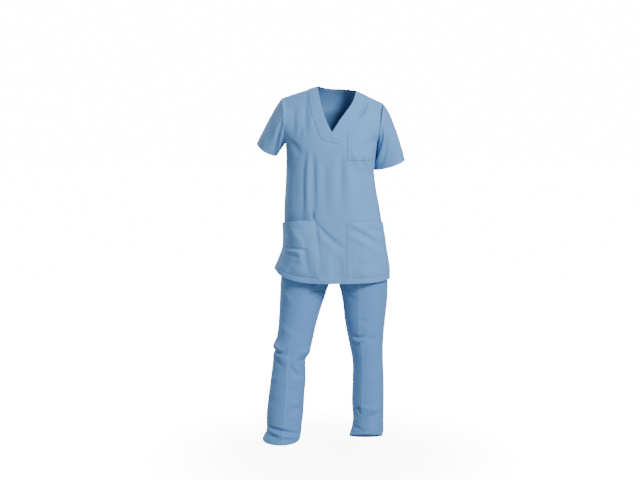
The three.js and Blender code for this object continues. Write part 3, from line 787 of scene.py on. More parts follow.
def bandPoint(rows, run, across):
    def read(column):
        return smoothAt(rows, "run", column, run)
    x = mix(read("edgeX"), read("seamX"), across)
    z = mix(read("edgeZ"), read("seamZ"), across)
    for end, fromEnd in (0, run), (-1, rows["run"][-1] - run):
        endZ = mix(rows["edgeZ"][end], rows["seamZ"][end], across)
        if min(rows["edgeZ"][end], rows["seamZ"][end]) > neckband["shoulderZ"]:
            shoulder = smoothAt(shoulderLine, "x", "z", mix(rows["edgeX"][end], rows["seamX"][end], across))
            z = z + (shoulder - endZ) * np.exp(-fromEnd / neckband["shoulderEase"])
    return x, z


def bandLift(side, rows, run, across):
    _, z = bandPoint(rows, run, across)
    end, crossing = neckband["end"], neckband["crossing"]
    lift = cloth["layer"] + neckband["puff"] * (1 - (2 * across - 1) ** 8)
    for share in neckband["stitchShares"]:
        stitched = dip((across - share) * neckband["width"], neckband["stitchWidth"])
        lift = lift - cloth["stitchDepth"] * stitched
    lift = lift - end["depth"] * dip(run, end["width"])
    if side == "left":
        share = np.clip((crossing["from"] - z) / (crossing["from"] - crossing["to"]), 0, 1)
        lift = lift + crossing["lift"] * easeBoth(share)
    if side != "right":
        last = crossing if side == "left" else end
        lift = lift - last["depth"] * dip(rows["run"][-1] - run, last["width"])
    return lift


def neckbandPiece(side, flat):
    rows = bands[side]
    face = "back" if side == "back" else "front"
    length, first, ends = rows["run"][-1], neckband["firstStep"], neckband["ends"]
    steps = [*ends, *evenly(first, length - first, neckband["step"]), *[length - end for end in ends[::-1]]]

    def place(across, run):
        x, z = bandPoint(rows, run, across)
        fromEdge = across * neckband["width"]
        wear = rubbed("neckEdge", fromEdge) + rubbed("neckSeam", neckband["width"] - fromEdge)
        return onTunic(face, turnAt(x, z), z, bandLift(side, rows, run, across)), wear

    facing = Vector((0, faceSign[face], 0.2))
    bm = clothGrid(neckband["across"], steps, place, flat, facing)
    piece = finishCloth("neckband_" + side, bm)
    for share in neckband["stitchShares"]:
        run = np.linspace(neckband["stitchEnds"], length - neckband["stitchEnds"], 300)
        across = np.full_like(run, share)
        x, z = bandPoint(rows, run, across)
        turn = turnAt(x, z)
        lift = bandLift(side, rows, run, across)
        sew(onTunic(face, turn, z, lift), tunicNormal(face, turn, z))


neckbandPiece("right", (0.045, 0.24))
neckbandPiece("left", (0.048, 0.23))
neckbandPiece("back", (0.055, 0.29))
print("neckband sewn")


# Patch pockets

pockets = {
    "chest": {
        "corners": {
            "innerTop": (53, -157), "outerTop": (150, -160),
            "innerFoot": (53, -269), "outerFoot": (148, -268),
        },
        "flat": (0.105, 0.118), "gape": 0.3, "puff": 0.3,
        "mouthTurn": 21, "step": 3.4, "doubleRow": (1.7, 12.4),
    },
    "left": {
        "corners": {"innerTop": (50, -499), "outerTop": (189, -506), "innerFoot": (52, -709)},
        "flat": (0.21, 0.215), "gape": 1.2, "puff": 2,
        "mouthTurn": 24.5, "step": 3.8, "doubleRow": (1.8, 15),
    },
    "right": {
        "corners": {"innerTop": (-70, -489), "outerTop": (-189, -511), "innerFoot": (-50, -709)},
        "flat": (0.20, 0.22), "gape": 24, "puff": 2.6,
        "mouthTurn": 24, "step": 3.8, "doubleRow": (1.8, 15),
    },
}

pocketSewing = {
    "fromSide": 0.004,  # turn from the side seam to the outer edge
    "fromHem": 0.5,
    "heldWidth": 5,  # how far in from its seams a pocket is held down
    "lift": 0.5,
    "flattest": -0.2,
    "lowest": 1.15,  # keeps it off the front everywhere
    "puffStart": 30,
    "mouthLift": (0.5, 0.5),  # the second layer at the mouth, and how softly it ends
    "rowDepth": 0.5,
    "mouthRowDepth": 0.4,
    "fromEdge": 1.6,  # from a seam to its row of stitches
    "near": [0, 0.8, 1.6, 2.6, 4, 6.5],  # closer columns and rows, by their distance from an edge
    "doubleNear": [-1.2, 0, 1.2, 3],
    "doubleGap": 6,
    "mouth": [0, 0.8, 2, 6, 11, 16],
    "mouthNear": [-3, -1.5, -0.4, 0.4, 1.4],
    "mouthGap": 4,
    "plain": 9,  # from an edge to the first of the even steps
}

pocketCreases = {
    "chest": tableOf(creaseColumns, [
        (62, -176, 120, -232, 10, -1.08, 3),
        (138, -168, 108, -200, 9, 1.08, 2),
    ]),
    "left": tableOf(creaseColumns, [
        (60, -522, 184, -600, 7, -6.4, -6),
        (66, -550, 172, -626, 12, 4.4, -5),
        (72, -506, 176, -572, 12, 4.59, -6),
        (120, -522, 180, -544, 7, -3.51, -3),
        (64, -640, 150, -660, 14, -2.16, 4),
        (100, -655, 110, -712, 14, 2.43, 2),
    ]),
    "right": tableOf(creaseColumns, [
        (-168, -599, -84, -610, 6, -7.2, -3),
        (-158, -612, -116, -616, 5, 4.6, -2),
        (-170, -623, -122, -632, 5, -5, -2),
        (-124, -604, -108, -670, 12, 6, 4),
        (-98, -600, -88, -690, 13, -4.2, 2),
        (-142, -520, -92, -606, 15, 4.86, 4),
        (-172, -540, -150, -590, 10, -3.51, 2),
        (-84, -506, -74, -600, 12, -3.2, -2),
        (-160, -664, -90, -690, 14, 2.7, 3),
    ]),
}


def pocketPoint(name, across, down):
    # across runs from the inner edge to the outer one, down from the mouth to the foot.
    corners = pockets[name]["corners"]
    top = mix(corners["innerTop"][1], corners["outerTop"][1], across)
    innerX = mix(corners["innerTop"][0], corners["innerFoot"][0], down)
    if name == "chest":
        z = mix(top, mix(corners["innerFoot"][1], corners["outerFoot"][1], across), down)
        outerX = mix(corners["outerTop"][0], corners["outerFoot"][0], down)
        return turnAt(mix(innerX, outerX, across), z), z
    inner = turnAt(innerX, mix(corners["innerTop"][1], corners["innerFoot"][1], down))
    side = pocketSewing["fromSide"] if name == "right" else np.pi - pocketSewing["fromSide"]
    turn = mix(inner, side, across)
    foot = panelHeight("front", turn, np.full_like(turn, cloth["hemTurn"] + pocketSewing["fromHem"]))
    return turn, mix(top, foot, down)


def pocketLift(name, across, down):
    pocket, sewing, corners = pockets[name], pocketSewing, pockets[name]["corners"]
    width, length = pocket["flat"][0] / millimetre, pocket["flat"][1] / millimetre
    fromInner, fromMouth = across * width, down * length
    turn, z = pocketPoint(name, across, down)
    x = tunicSurface("front", turn, z)[..., 0]
    held = 1
    for distance in (fromInner, width - fromInner, length - fromMouth):
        held = held * (1 - dip(distance, sewing["heldWidth"]))
    innerX = mix(corners["innerTop"][0], corners["innerFoot"][0], down)
    wayOut = np.clip((x - innerX) / (corners["outerTop"][0] - innerX), 0, 1)
    gape = pocket["gape"] * np.sin(np.pi * wayOut) ** 0.8 * (1 - down**2)
    puff = pocket["puff"] * (1 - down**4) * (1 - dip(fromInner, sewing["puffStart"]))
    slack = np.maximum(creaseHeight(pocketCreases[name], x, z) + puff, sewing["flattest"])
    doubled, softness = sewing["mouthLift"]
    lift = cloth["layer"] + held * (sewing["lift"] + slack) + gape
    lift = lift + doubled * fallsAt(fromMouth, pocket["mouthTurn"], softness)
    for distance in pocket["doubleRow"]:
        lift = lift - sewing["rowDepth"] * dip(fromInner - distance, cloth["stitchWidth"])
    stitched = dip(fromMouth - pocket["mouthTurn"] + cloth["stitchIn"], cloth["stitchWidth"])
    return np.maximum(lift - sewing["mouthRowDepth"] * stitched, sewing["lowest"])


def pocketPiece(name):
    pocket, sewing = pockets[name], pocketSewing
    width, length = pocket["flat"][0] / millimetre, pocket["flat"][1] / millimetre
    near, plain, turned = sewing["near"], sewing["plain"], pocket["mouthTurn"]

    def onward(stitched, which, end):
        # Closer steps beside a row of stitches, even ones after it, and closer ones up to the far edge.
        even = evenly(stitched + sewing[which + "Gap"], end - plain, pocket["step"])
        beside = [stitched + offset for offset in sewing[which + "Near"]]
        return [*beside, *even, *[end - offset for offset in near[::-1]]]

    across = [*near, plain, *onward(pocket["doubleRow"][1], "double", width)]
    down = [*sewing["mouth"], *onward(turned, "mouth", length)]

    def place(a, b):
        turn, z = pocketPoint(name, a, b)
        fromMouth = b * length
        wear = rubbed("pocketInner", a * width) + rubbed("pocketMouth", fromMouth)
        wear = wear + rubbed("pocketFoot", length - fromMouth)
        wear = wear + rubbed("pocketStitches", fromMouth - turned + cloth["stitchIn"])
        return onTunic("front", turn, z, pocketLift(name, a, b)), wear

    facing = Vector((0, -1, 0))
    bm = clothGrid(np.array(across) / width, np.array(down) / length, place, pocket["flat"], facing)
    piece = finishCloth("pocket_" + name, bm)

    def row(a, b):
        turn, z = pocketPoint(name, a, b)
        sew(onTunic("front", turn, z, pocketLift(name, a, b)), tunicNormal("front", turn, z))

    whole = np.linspace(0.01, 0.985, 240)
    for distance in pocket["doubleRow"]:
        row(np.full_like(whole, distance / width), whole)
    row(whole, np.full_like(whole, 1 - sewing["fromEdge"] / length))
    row(whole, np.full_like(whole, (turned - cloth["stitchIn"]) / length))
    if name == "chest":
        row(np.full_like(whole, 1 - sewing["fromEdge"] / width), whole)


for name in pockets:
    pocketPiece(name)
print("pockets sewn on")


# Sleeves

sleeves = {
    "right": {
        "middle": (-254, 40, -229), "outward": (-0.88, 0, 0.476), "forward": (0, -0.97, -0.24),
        "halfWidth": 46, "halfDepth": 65, "bulge": 7, "side": -1, "seamTurn": 0,
    },
    "left": {
        "middle": (218, 37, -288), "outward": (0.957, 0, 0.29), "forward": (0, -0.98, -0.2),
        "halfWidth": 64, "halfDepth": 54, "bulge": 12, "side": 1, "seamTurn": np.pi,
    },
    "perimeter": 372, "length": 190, "hemTurn": 20, "around": 104, "along": 44,
    "tuck": 0.8,  # how far the cap goes in under the armhole's edge
    "capEase": 9,  # how soon below the armhole the folds start
    "capSeam": 0.5,  # share of a plain seam's depth
}

# Each row: the angle round the arm from the armpit over the front and the way down, at either end,
# then the width, height and bow.
sleeveCreases = {
    "right": [
        (88, 0.05, 50, 1.0, 11, 6.5, -2),
        (64, 0.04, 24, 0.9, 12, -7, 2),
        (44, 0.02, 4, 0.7, 8, 3, 3),
        (106, 0.06, 84, 0.62, 8, -2.4, 3),
        (132, 0.0, 126, 0.8, 26, 6, 3),
        (152, 0.3, 122, 0.9, 9, -2, 3),
        (320, 0.04, 282, 0.66, 10, -4.5, -5),
        (296, 0.02, 256, 0.6, 12, 4, -5),
        (230, 0.0, 220, 0.5, 12, -2.6, 3),
    ],
    "left": [
        (94, 0.08, 16, 0.85, 8, -9, 4),
        (112, 0.1, 42, 0.98, 11, 7, 5),
        (130, 0.03, 84, 0.26, 6, -5.5, 2),
        (70, 0.03, 30, 0.35, 6, -3.4, 2),
        (150, 0.02, 146, 0.55, 20, 4, 3),
        (124, 0.4, 98, 0.98, 12, -4, 3),
        (322, 0.04, 280, 0.64, 10, -4.5, -5),
        (298, 0.02, 252, 0.6, 12, 4, -5),
        (228, 0.0, 214, 0.5, 12, -2.6, 3),
    ],
}


def sleeveStart(spec, angle):
    rise = np.where(angle <= np.pi, angle / np.pi, 2 - angle / np.pi)
    tip = tunic["tipZ"]["right" if spec["side"] < 0 else "left"]
    z = mix(tunic["armpitZ"], tip, easeBoth(rise))
    turn = np.full_like(angle, spec["seamTurn"])
    onFront = (angle <= np.pi)[..., None]
    start = np.where(onFront, tunicSurface("front", turn, z), tunicSurface("back", turn, z))
    start[..., 0] -= spec["side"] * sleeves["tuck"]
    return start


def sleeveSurface(name, angle, share):
    spec = sleeves[name]
    angle = angle % (2 * np.pi)
    start = sleeveStart(spec, angle)
    middle, outward, forward = (np.array(spec[key], float) for key in ("middle", "outward", "forward"))
    outward, forward = unit(outward), unit(forward)
    end = middle - spec["halfWidth"] * np.cos(angle)[..., None] * outward
    end = end + spec["halfDepth"] * np.sin(angle)[..., None] * forward
    swell = np.sin(np.pi * np.clip(share, 0, 1) ** 0.6) * spec["bulge"] * (1 - np.cos(angle)) / 2
    length = np.linalg.norm(end - start, axis=-1)
    return mix(start, end, share[..., None]) + swell[..., None] * outward, length


def sleeveCreaseTable(name):
    around, down = sleeves["perimeter"], sleeves["length"]
    rows = []
    for angle1, way1, angle2, way2, *shape in sleeveCreases[name]:
        for turn in (-360, 0, 360):
            x1, x2 = ((angle + turn) / 360 * around for angle in (angle1, angle2))
            rows.append((x1, way1 * down, x2, way2 * down, *shape))
    return tableOf(creaseColumns, rows)


# Row values on a sleeve: distance from the armhole, thousandths of the way, then on to the hem.
sleeveStretchEnd = seamRows[-1] + stretch
sleeveEnd = sleeveStretchEnd + hemRows[-1]


def sleeveShare(length, row):
    start = seamRows[-1]
    middle = mix(start / length, 1 - hemRows[-1] / length, np.clip((row - start) / stretch, 0, 1))
    last = 1 - (sleeveEnd - row) / length
    return np.where(row <= start, row / length, np.where(row <= sleeveStretchEnd, middle, last))


def onSleeve(name, angle, row, creases):
    _, length = sleeveSurface(name, angle, np.zeros_like(angle))
    share = sleeveShare(length, row)
    point, _ = sleeveSurface(name, angle, share)
    ahead, _ = sleeveSurface(name, angle + nudge["angle"], share)
    behind, _ = sleeveSurface(name, angle - nudge["angle"], share)
    down, _ = sleeveSurface(name, angle, np.minimum(share + nudge["way"], 1))
    up, _ = sleeveSurface(name, angle, np.maximum(share - nudge["way"], 0))
    normal = unit(np.cross(ahead - behind, down - up)) * sleeves[name]["side"]
    around = angle / (2 * np.pi) * sleeves["perimeter"]
    fromCap, fromHem = share * length, (1 - share) * length
    fold = creaseHeight(creases, around, share * sleeves["length"]) * (1 - dip(fromCap, sleeves["capEase"]))
    lift = fold + sleeves["capSeam"] * seamLift(fromCap)
    lift = lift + np.where(fromHem < hemRows[-1], hemLift(fromHem, sleeves["hemTurn"]), 0)
    # Fold ridges are painted lighter and troughs darker: painted highlight and shade.
    wear = rubbed("seam", fromCap) + hemWear(fromHem, sleeves["hemTurn"]) + paintedFoldShading(fold)
    return point + normal * lift[..., None], normal, wear


def sleevePiece(name, flat):
    creases = sleeveCreaseTable(name)
    columns = np.linspace(0, 2 * np.pi, sleeves["around"] + 1)
    middle = np.linspace(seamRows[-1], sleeveStretchEnd, sleeves["along"] + 1)[1:]
    rows = [*seamRows, *middle, *[sleeveEnd - offset for offset in hemRows[-2::-1]]]

    def place(angle, row):
        points, _, wear = onSleeve(name, angle, row, creases)
        return points, wear

    bm = clothGrid(columns, rows, place, flat, closedAround=True)
    piece = finishCloth("sleeve_" + name, bm)
    angle = np.linspace(0, 2 * np.pi, 300)
    row = np.full_like(angle, sleeveEnd - sleeves["hemTurn"] + cloth["stitchIn"])
    points, normals, _ = onSleeve(name, angle, row, creases)
    sew(points, normals)


sleevePiece("right", (0.37, 0.21))
sleevePiece("left", (0.38, 0.25))
print("sleeves set in")


# Trousers

legs = {
    "crotchZ": -700, "hemBlendZ": -1240, "lastLevel": -1333, "firstLevel": -450, "hemTurn": 26,
    "riseZ": -708,  # above this the tunic hides the legs, and rows lie further apart
    "quarterRound": 0.5523, "halfRound": 4 / 3,  # handle lengths that make a curve a quarter or half round
    "run": 1.6,  # round a panel, as a share of the leg's width
    "slack": {"height": 0.8, "shift": 300},
    "creaseEase": 20, "backCrease": 0.5, "hemReach": 32,
    "besideSeam": [0, 0.003, 0.0075, 0.013, 0.021, 0.032], "besideCrease": [0.022, 0.013, 0.007, 0.003],
    "columns": {"first": 0.046, "last": 0.464, "step": 0.0175}, "rowStep": {"leg": 4.2, "rise": 6},
    "hem": {
        "right": {"side": -1333, "front": -1338, "back": -1368},
        "left": {"side": -1340, "front": -1316, "back": -1366},
    },
}

legColumns = "z outer inner seamY riseFront riseBack front back turn"
legRows = {
    "right": tableOf(legColumns, [
        (-1370, -272, -128, -103, -103, -103, 88, 68, 0),
        (-1333, -270, -127, -100, -100, -100, 86, 70, 0),
        (-1305, -256, -121, -95, -95, -95, 80, 72, 0),
        (-1274, -255, -118, -90, -90, -90, 76, 74, 0),
        (-1235, -255, -113, -84, -84, -84, 73, 74, 0),
        (-1156, -246, -108, -73, -73, -73, 71, 73, 0),
        (-1110, -240, -104, -66, -66, -66, 70, 72, 0),
        (-1054, -233, -105, -58, -58, -58, 68, 70, 0),
        (-1030, -231, -103, -54, -54, -54, 69, 71, 0),
        (-1010, -230, -89, -50, -50, -50, 70, 71, 0),
        (-998, -224, -86, -48, -48, -48, 71, 71, 0),
        (-984, -232, -83, -46, -46, -46, 72, 72, 0),
        (-955, -219, -76, -40, -40, -40, 74, 74, 0),
        (-918, -212, -68, -33, -33, -33, 76, 78, 0),
        (-844, -207, -47, -20, -20, -20, 84, 88, 0),
        (-750, -203, -15, -6, -6, -6, 95, 96, 0),
        (-712, -200, -1, -2, -2, -2, 99, 101, 0),
        (-700, -199, 3, 0, 0, 0, 101, 103, 0),
        (-695, -198.5, 4, 0, -32, 40, 102, 105, 0.3),
        (-683, -197, 4, 0, -70, 76, 106, 110, 0.6),
        (-660, -193, 4, -1, -105, 108, 112, 114, 0.9),
        (-620, -184, 4, -2, -121, 116, 119, 118, 1),
        (-570, -177, 4, -2, -122, 112, 120, 114, 1),
        (-520, -168, 4, -3, -116, 100, 113, 103, 1),
        (-450, -148, 4, -3, -98, 88, 95, 91, 1),
    ]),
    "left": tableOf(legColumns, [
        (-1370, 193, 65, -36, -36, -36, 78, 70, 0),
        (-1340, 193, 65, -35, -35, -35, 78, 70, 0),
        (-1309, 198, 73, -32, -32, -32, 75, 72, 0),
        (-1272, 198, 78, -29, -29, -29, 72, 72, 0),
        (-1211, 199, 74, -25, -25, -25, 70, 72, 0),
        (-1123, 198.7, 76.5, -20, -20, -20, 68, 70, 0),
        (-1045, 195.6, 75.5, -17, -17, -17, 68, 70, 0),
        (-966, 196, 60.5, -14, -14, -14, 74, 74, 0),
        (-889, 202.5, 46, -9, -9, -9, 82, 84, 0),
        (-811, 211, 37, -4, -4, -4, 88, 92, 0),
        (-753, 213, 23.6, -1, -1, -1, 95, 95, 0),
        (-712, 211, 9, 0, 0, 0, 99, 101, 0),
        (-700, 210, 5, 0, 0, 0, 101, 103, 0),
        (-695, 209.5, 4, 0, -32, 40, 102, 105, 0.3),
        (-683, 208, 4, 0, -70, 76, 106, 110, 0.6),
        (-660, 203, 4, -1, -105, 108, 112, 114, 0.9),
        (-620, 194, 4, -2, -121, 116, 119, 118, 1),
        (-570, 186, 4, -2, -122, 112, 120, 114, 1),
        (-520, 172, 4, -3, -116, 100, 113, 103, 1),
        (-450, 156, 4, -3, -98, 88, 95, 91, 1),
    ]),
}

# Pressed crease down each front: where it runs, and how far it stands out.
pressedCrease = {
    "right": tableOf("z x height", [
        (-1340, -190, 2), (-1232, -183.6, 2.8), (-1154, -176.6, 3), (-1058, -174, 2.8), (-985, -168.5, 1.6),
        (-930, -158, 0.8), (-840, -135, 0.5), (-750, -112, 0.5), (-450, -90, 0),
    ]),
    "left": tableOf("z x height", [
        (-1333, 106, 1), (-1250, 111, 1.6), (-1210, 112, 2.6), (-1112, 113.7, 3.1), (-1000, 112.5, 3),
        (-955, 103, 1.6), (-930, 101.5, 2), (-840, 101, 2.2), (-745, 101, 2), (-640, 101, 1), (-450, 90, 0),
    ]),
}

legCreases = {
    ("right", "front"): tableOf(creaseColumns, [
        (-20, -704, -80, -744, 10, -5.85, 3),
        (-34, -726, -98, -764, 9, 4.42, 3),
        (-44, -756, -96, -788, 9, -5.2, 3),
        (-64, -800, -104, -812, 9, -2.6, 3),
        (-186, -770, -150, -812, 14, 3.38, 3),
        (-196, -900, -150, -930, 16, 3.9, 3),
        (-222, -985, -198, -1002, 6, -7, 2),
        (-226, -971, -190, -990, 7, 5.6, 2),
        (-214, -1008, -178, -1015, 7, 4.2, 2),
        (-224, -1020, -184, -1052, 9, -4.6, 3),
        (-99, -1022, -142, -1035, 7, -5.4, -3),
        (-90, -990, -124, -1004, 8, 5, -2),
        (-108, -1044, -150, -1030, 7, 4.2, -2),
        (-162, -1048, -116, -1090, 9, -5.6, 5),
        (-166, -1098, -106, -1104, 9, 3.8, -2),
        (-238, -1100, -196, -1084, 11, 3, 3),
        (-168, -1134, -124, -1132, 12, -2.8, 2),
        (-170, -1184, -124, -1182, 11, 2.8, 2),
        (-164, -1209, -120, -1209, 11, -2.8, -2),
        (-164, -1240, -124, -1239, 10, 3, -2),
        (-244, -1190, -206, -1166, 13, -2.6, 3),
        (-243, -1277, -130, -1303, 6, -10, -3),
        (-247, -1291, -134, -1314, 7, 8, -3),
        (-243, -1298, -204, -1320, 6, -4.6, -2),
        (-206, -1318, -138, -1312, 6, -3.4, 2),
    ]),
    ("left", "front"): tableOf(creaseColumns, [
        (36, -738, 78, -768, 10, -5.2, 3),
        (52, -780, 84, -796, 9, -3.12, 3),
        (76, -940, 124, -939, 6, -6, 2),
        (73, -951, 101, -960, 5, 5.6, 1),
        (98, -960, 126, -945, 5, 5.6, 1),
        (68, -971, 102, -973, 7, -4.4, 2),
        (100, -884, 130, -874, 8, -3.4, -2),
        (130, -952, 184, -936, 12, -3, 3),
        (138, -1108, 190, -1082, 16, 2.2, 4),
        (95, -1214, 109, -1242, 4, -6.4, 1),
        (86, -1229, 105, -1215, 4, -4.6, 1),
        (108, -1213, 182, -1222, 9, 3.8, 2),
        (178, -1237, 110, -1273, 11, -5, 3),
        (112, -1290, 170, -1284, 12, 3, 2),
        (98, -1262, 80, -1280, 8, 3.4, 2),
        (76, -1294, 116, -1304, 7, -3.4, -2),
    ]),
    ("right", "back"): tableOf(creaseColumns, [
        (-150, -742, -56, -772, 12, -6.5, 5),
        (-160, -764, -70, -794, 12, 5.2, 5),
        (-216, -1010, -110, -985, 11, -6.2, -6),
        (-210, -988, -118, -966, 11, 5, -6),
        (-218, -1036, -122, -1008, 11, 4.4, -5),
        (-226, -1060, -130, -1034, 12, -4.8, -5),
        (-230, -1090, -150, -1066, 12, 4.55, -4),
        (-250, -1275, -140, -1290, 12, -5, -4),
        (-254, -1300, -140, -1314, 11, 4.6, -4),
        (-246, -1238, -150, -1252, 12, 3.9, -4),
        (-252, -1334, -160, -1346, 8, -5.2, -3),
    ]),
    ("left", "back"): tableOf(creaseColumns, [
        (56, -742, 150, -775, 12, -6.5, -5),
        (66, -766, 158, -798, 12, 5.2, -5),
        (80, -985, 180, -1008, 11, -5.8, -6),
        (84, -964, 176, -986, 11, 4.6, -6),
        (84, -1010, 178, -1032, 11, 4, -5),
        (90, -1050, 170, -1068, 12, -5.85, -5),
        (90, -1284, 182, -1274, 12, -4.8, 4),
        (84, -1308, 184, -1298, 11, 4.4, 4),
        (92, -1336, 176, -1330, 8, -5.2, 3),
    ]),
}


def legSurface(side, face, level, t):  # t runs from the side seam, 0, to the inner one, 1
    sign, hem, rows = faceSign[face], legs["hem"][side], legRows[side]
    swing = 4 * t * (1 - t)
    hemZ = mix(hem["side"], hem[face], swing)
    lean = (legs["hemBlendZ"] - level) / (legs["hemBlendZ"] - legs["lastLevel"])
    z = np.where(level >= legs["hemBlendZ"], level, mix(legs["hemBlendZ"], hemZ, lean))

    def read(column):
        return smoothAt(rows, "z", column, z)

    outer, inner, seamY, depth, turn = (read(column) for column in ("outer", "inner", "seamY", face, "turn"))
    innerY = np.where(z > legs["crotchZ"], read("riseFront" if face == "front" else "riseBack"), seamY)
    shown = np.maximum(depth - np.abs(innerY - seamY), 0)
    handleX = [outer, outer, inner + turn * legs["quarterRound"] * (outer - inner), inner]
    handleY = [
        seamY, seamY + sign * mix(legs["halfRound"], legs["quarterRound"], turn) * depth,
        innerY + sign * (1 - turn) * legs["halfRound"] * shown, innerY,
    ]
    weights = [(1 - t) ** 3, 3 * t * (1 - t) ** 2, 3 * t * t * (1 - t), t**3]
    x = sum(handle * weight for handle, weight in zip(handleX, weights))
    y = sum(handle * weight for handle, weight in zip(handleY, weights))
    slack = legs["slack"]
    fold = creaseHeight(legCreases[side, face], x, z) + slack["height"] * unevenness(x + slack["shift"], z)
    height = fold * (1 - (2 * t - 1) ** 8)
    across = (x - mix(outer, inner, 0.5)) / np.abs(outer - inner)
    out = unit(np.stack([across, np.full_like(x, sign), 0 * x], axis=-1))
    return np.stack([x, y, z], axis=-1) + out * height[..., None], fold


def legNormal(side, face, level, t):
    ahead, _ = legSurface(side, face, level, np.minimum(t + nudge["across"], 1))
    behind, _ = legSurface(side, face, level, np.maximum(t - nudge["across"], 0))
    up, _ = legSurface(side, face, np.minimum(level + nudge["height"], legs["firstLevel"]), t)
    down, _ = legSurface(side, face, np.maximum(level - nudge["height"], legs["lastLevel"]), t)
    return unit(np.cross(ahead - behind, up - down)) * -faceSign[face] * (1 if side == "right" else -1)


def legSides(side, level):
    return smoothAt(legRows[side], "z", "outer", level), smoothAt(legRows[side], "z", "inner", level)


def creaseShare(side, face, level):
    # Where the pressed crease lies between side seam and inner seam, round a section that is half round.
    if face == "back":
        return np.full_like(level, 0.5)
    outer, inner = legSides(side, level)
    share = np.clip((smoothAt(pressedCrease[side], "z", "x", level) - outer) / (inner - outer), 0.2, 0.8)
    return 0.5 - np.sin(np.arcsin(1 - 2 * share) / 3)


def onLeg(side, face, level, column):
    # column runs from the side seam, 0, over the pressed crease, 0.5, to the inner seam, 1.
    crease = creaseShare(side, face, level)
    t = np.where(column < 0.5, 2 * column * crease, crease + (2 * column - 1) * (1 - crease))
    point, fold = legSurface(side, face, level, t)
    outer, inner = legSides(side, level)
    run = legs["run"] * np.abs(outer - inner)
    fromSeam = run * np.minimum(t, 1 - t)
    fromCrease = run * np.abs(t - crease)
    fromHem = level - legs["lastLevel"]
    height = smoothAt(pressedCrease[side], "z", "height", level)
    if face == "back":
        height = legs["backCrease"] * height
    tent = height * np.exp(-fromCrease / legs["creaseEase"]) * (1 - np.exp(-fromSeam / legs["creaseEase"]))
    lift = seamLift(fromSeam) + tent
    lift = lift + np.where(fromHem < legs["hemReach"], hemLift(fromHem, legs["hemTurn"]), 0)
    # Fold ridges are painted lighter and troughs darker: painted highlight and shade.
    wear = rubbed("seam", fromSeam) + hemWear(fromHem, legs["hemTurn"]) + paintedFoldShading(fold)
    # The pressed crease is painted paler: partly its wear, partly a painted highlight along its ridge.
    wear = wear + np.minimum(height / 2, 1) * rubbed("pressedCrease", fromCrease)
    normal = legNormal(side, face, level, t)
    return point + normal * lift[..., None], normal, wear


def trouserPanel(side, face, flat):
    plain, step = evenly(*legs["columns"].values()), legs["rowStep"]
    half = [*legs["besideSeam"], *plain, *[0.5 - share for share in legs["besideCrease"]]]
    columns = [*half, 0.5, *[1 - share for share in half[::-1]]]
    hemLevels = [legs["lastLevel"] + row * (legs["hemTurn"] / cloth["hemTurn"]) for row in hemRows]
    visible = evenly(hemLevels[-1], legs["riseZ"], step["leg"])[1:]
    rise = evenly(legs["riseZ"], legs["firstLevel"], step["rise"])[1:]

    def place(column, level):
        points, _, wear = onLeg(side, face, level, column)
        return points, wear

    bm = clothGrid(columns, [*hemLevels, *visible, *rise], place, flat)
    piece = finishCloth("leg_" + side + "_" + face, bm, "trousers")
    along = np.linspace(0.01, 0.99, 200)
    level = np.full_like(along, legs["lastLevel"] + legs["hemTurn"] - cloth["stitchIn"])
    points, normals, _ = onLeg(side, face, level, along)
    sew(points, normals, "trousers")


waistband = {
    "top": -415, "bottom": -449.7, "around": 288, "rows": 15,
    "gathers": 54, "gatherDepth": 1.3, "puff": 0.9,
    "wander": (2.2, 17),  # how far the gathers stray from even spacing, and over how many columns
    "stitchShares": (0.18, 0.82), "stitchWidth": 0.05, "stitchDepth": 0.8, "wear": 0.3,
}


def waistbandPiece(flat):
    quarter = waistband["around"] // 4
    share = np.arange(quarter) / quarter
    level = np.full(quarter, float(legs["firstLevel"]))
    runs = [
        ("right", "front", share), ("left", "front", 1 - share),
        ("left", "back", share), ("right", "back", 1 - share),
    ]
    ring = []
    for side, face, t in runs:
        points, _ = legSurface(side, face, level, t)
        ring.append(points)
    ring = np.concatenate(ring)
    ring[::2 * quarter, 1] = legRows["right"]["seamY"][-1]
    ring = np.concatenate([ring, ring[:1]])

    def place(k, z):
        base = ring[k.astype(int)]
        out = unit(base * (1, 1, 0))
        up = (z - waistband["bottom"]) / (waistband["top"] - waistband["bottom"])
        amount, length = waistband["wander"]
        angle = 2 * np.pi * k / waistband["around"] * waistband["gathers"]
        pucker = np.cos(angle + amount * np.sin(k / length))
        lift = waistband["gatherDepth"] * (pucker - 1) * (0.6 + 0.4 * np.abs(2 * up - 1))
        lift = lift + waistband["puff"] * (1 - (2 * up - 1) ** 6)
        for share in waistband["stitchShares"]:
            lift = lift - waistband["stitchDepth"] * dip(up - share, waistband["stitchWidth"])
        points = base + out * lift[..., None]
        points[:, 2] = z
        # The crests of the gathers are made paler.
        return points, waistband["wear"] * (pucker > 0.6)

    rows = np.linspace(waistband["bottom"], waistband["top"], waistband["rows"])
    columns = np.arange(waistband["around"] + 1)
    bm = clothGrid(columns, rows, place, flat, closedAround=True)
    piece = finishCloth("waistband", bm, "trousers")


waistbandPiece((0.80, 0.036))
for side in ("right", "left"):
    for face in ("front", "back"):
        trouserPanel(side, face, (0.33, 0.93))
print("trousers sewn and pressed")


# Stitches

def evenSteps(points, normals):  # where each stitch lies on its row, with its direction
    run = np.concatenate([[0], np.cumsum(np.linalg.norm(np.diff(points, axis=0), axis=1))])
    places = np.arange(stitch["pitch"] / 2, run[-1], stitch["pitch"])

    def read(values, at):
        return np.stack([np.interp(at, run, values[:, i]) for i in range(3)], axis=-1)

    half = stitch["length"] / 2
    along = unit(read(points, places + half) - read(points, places - half))
    return read(points, places), along, unit(read(normals, places))


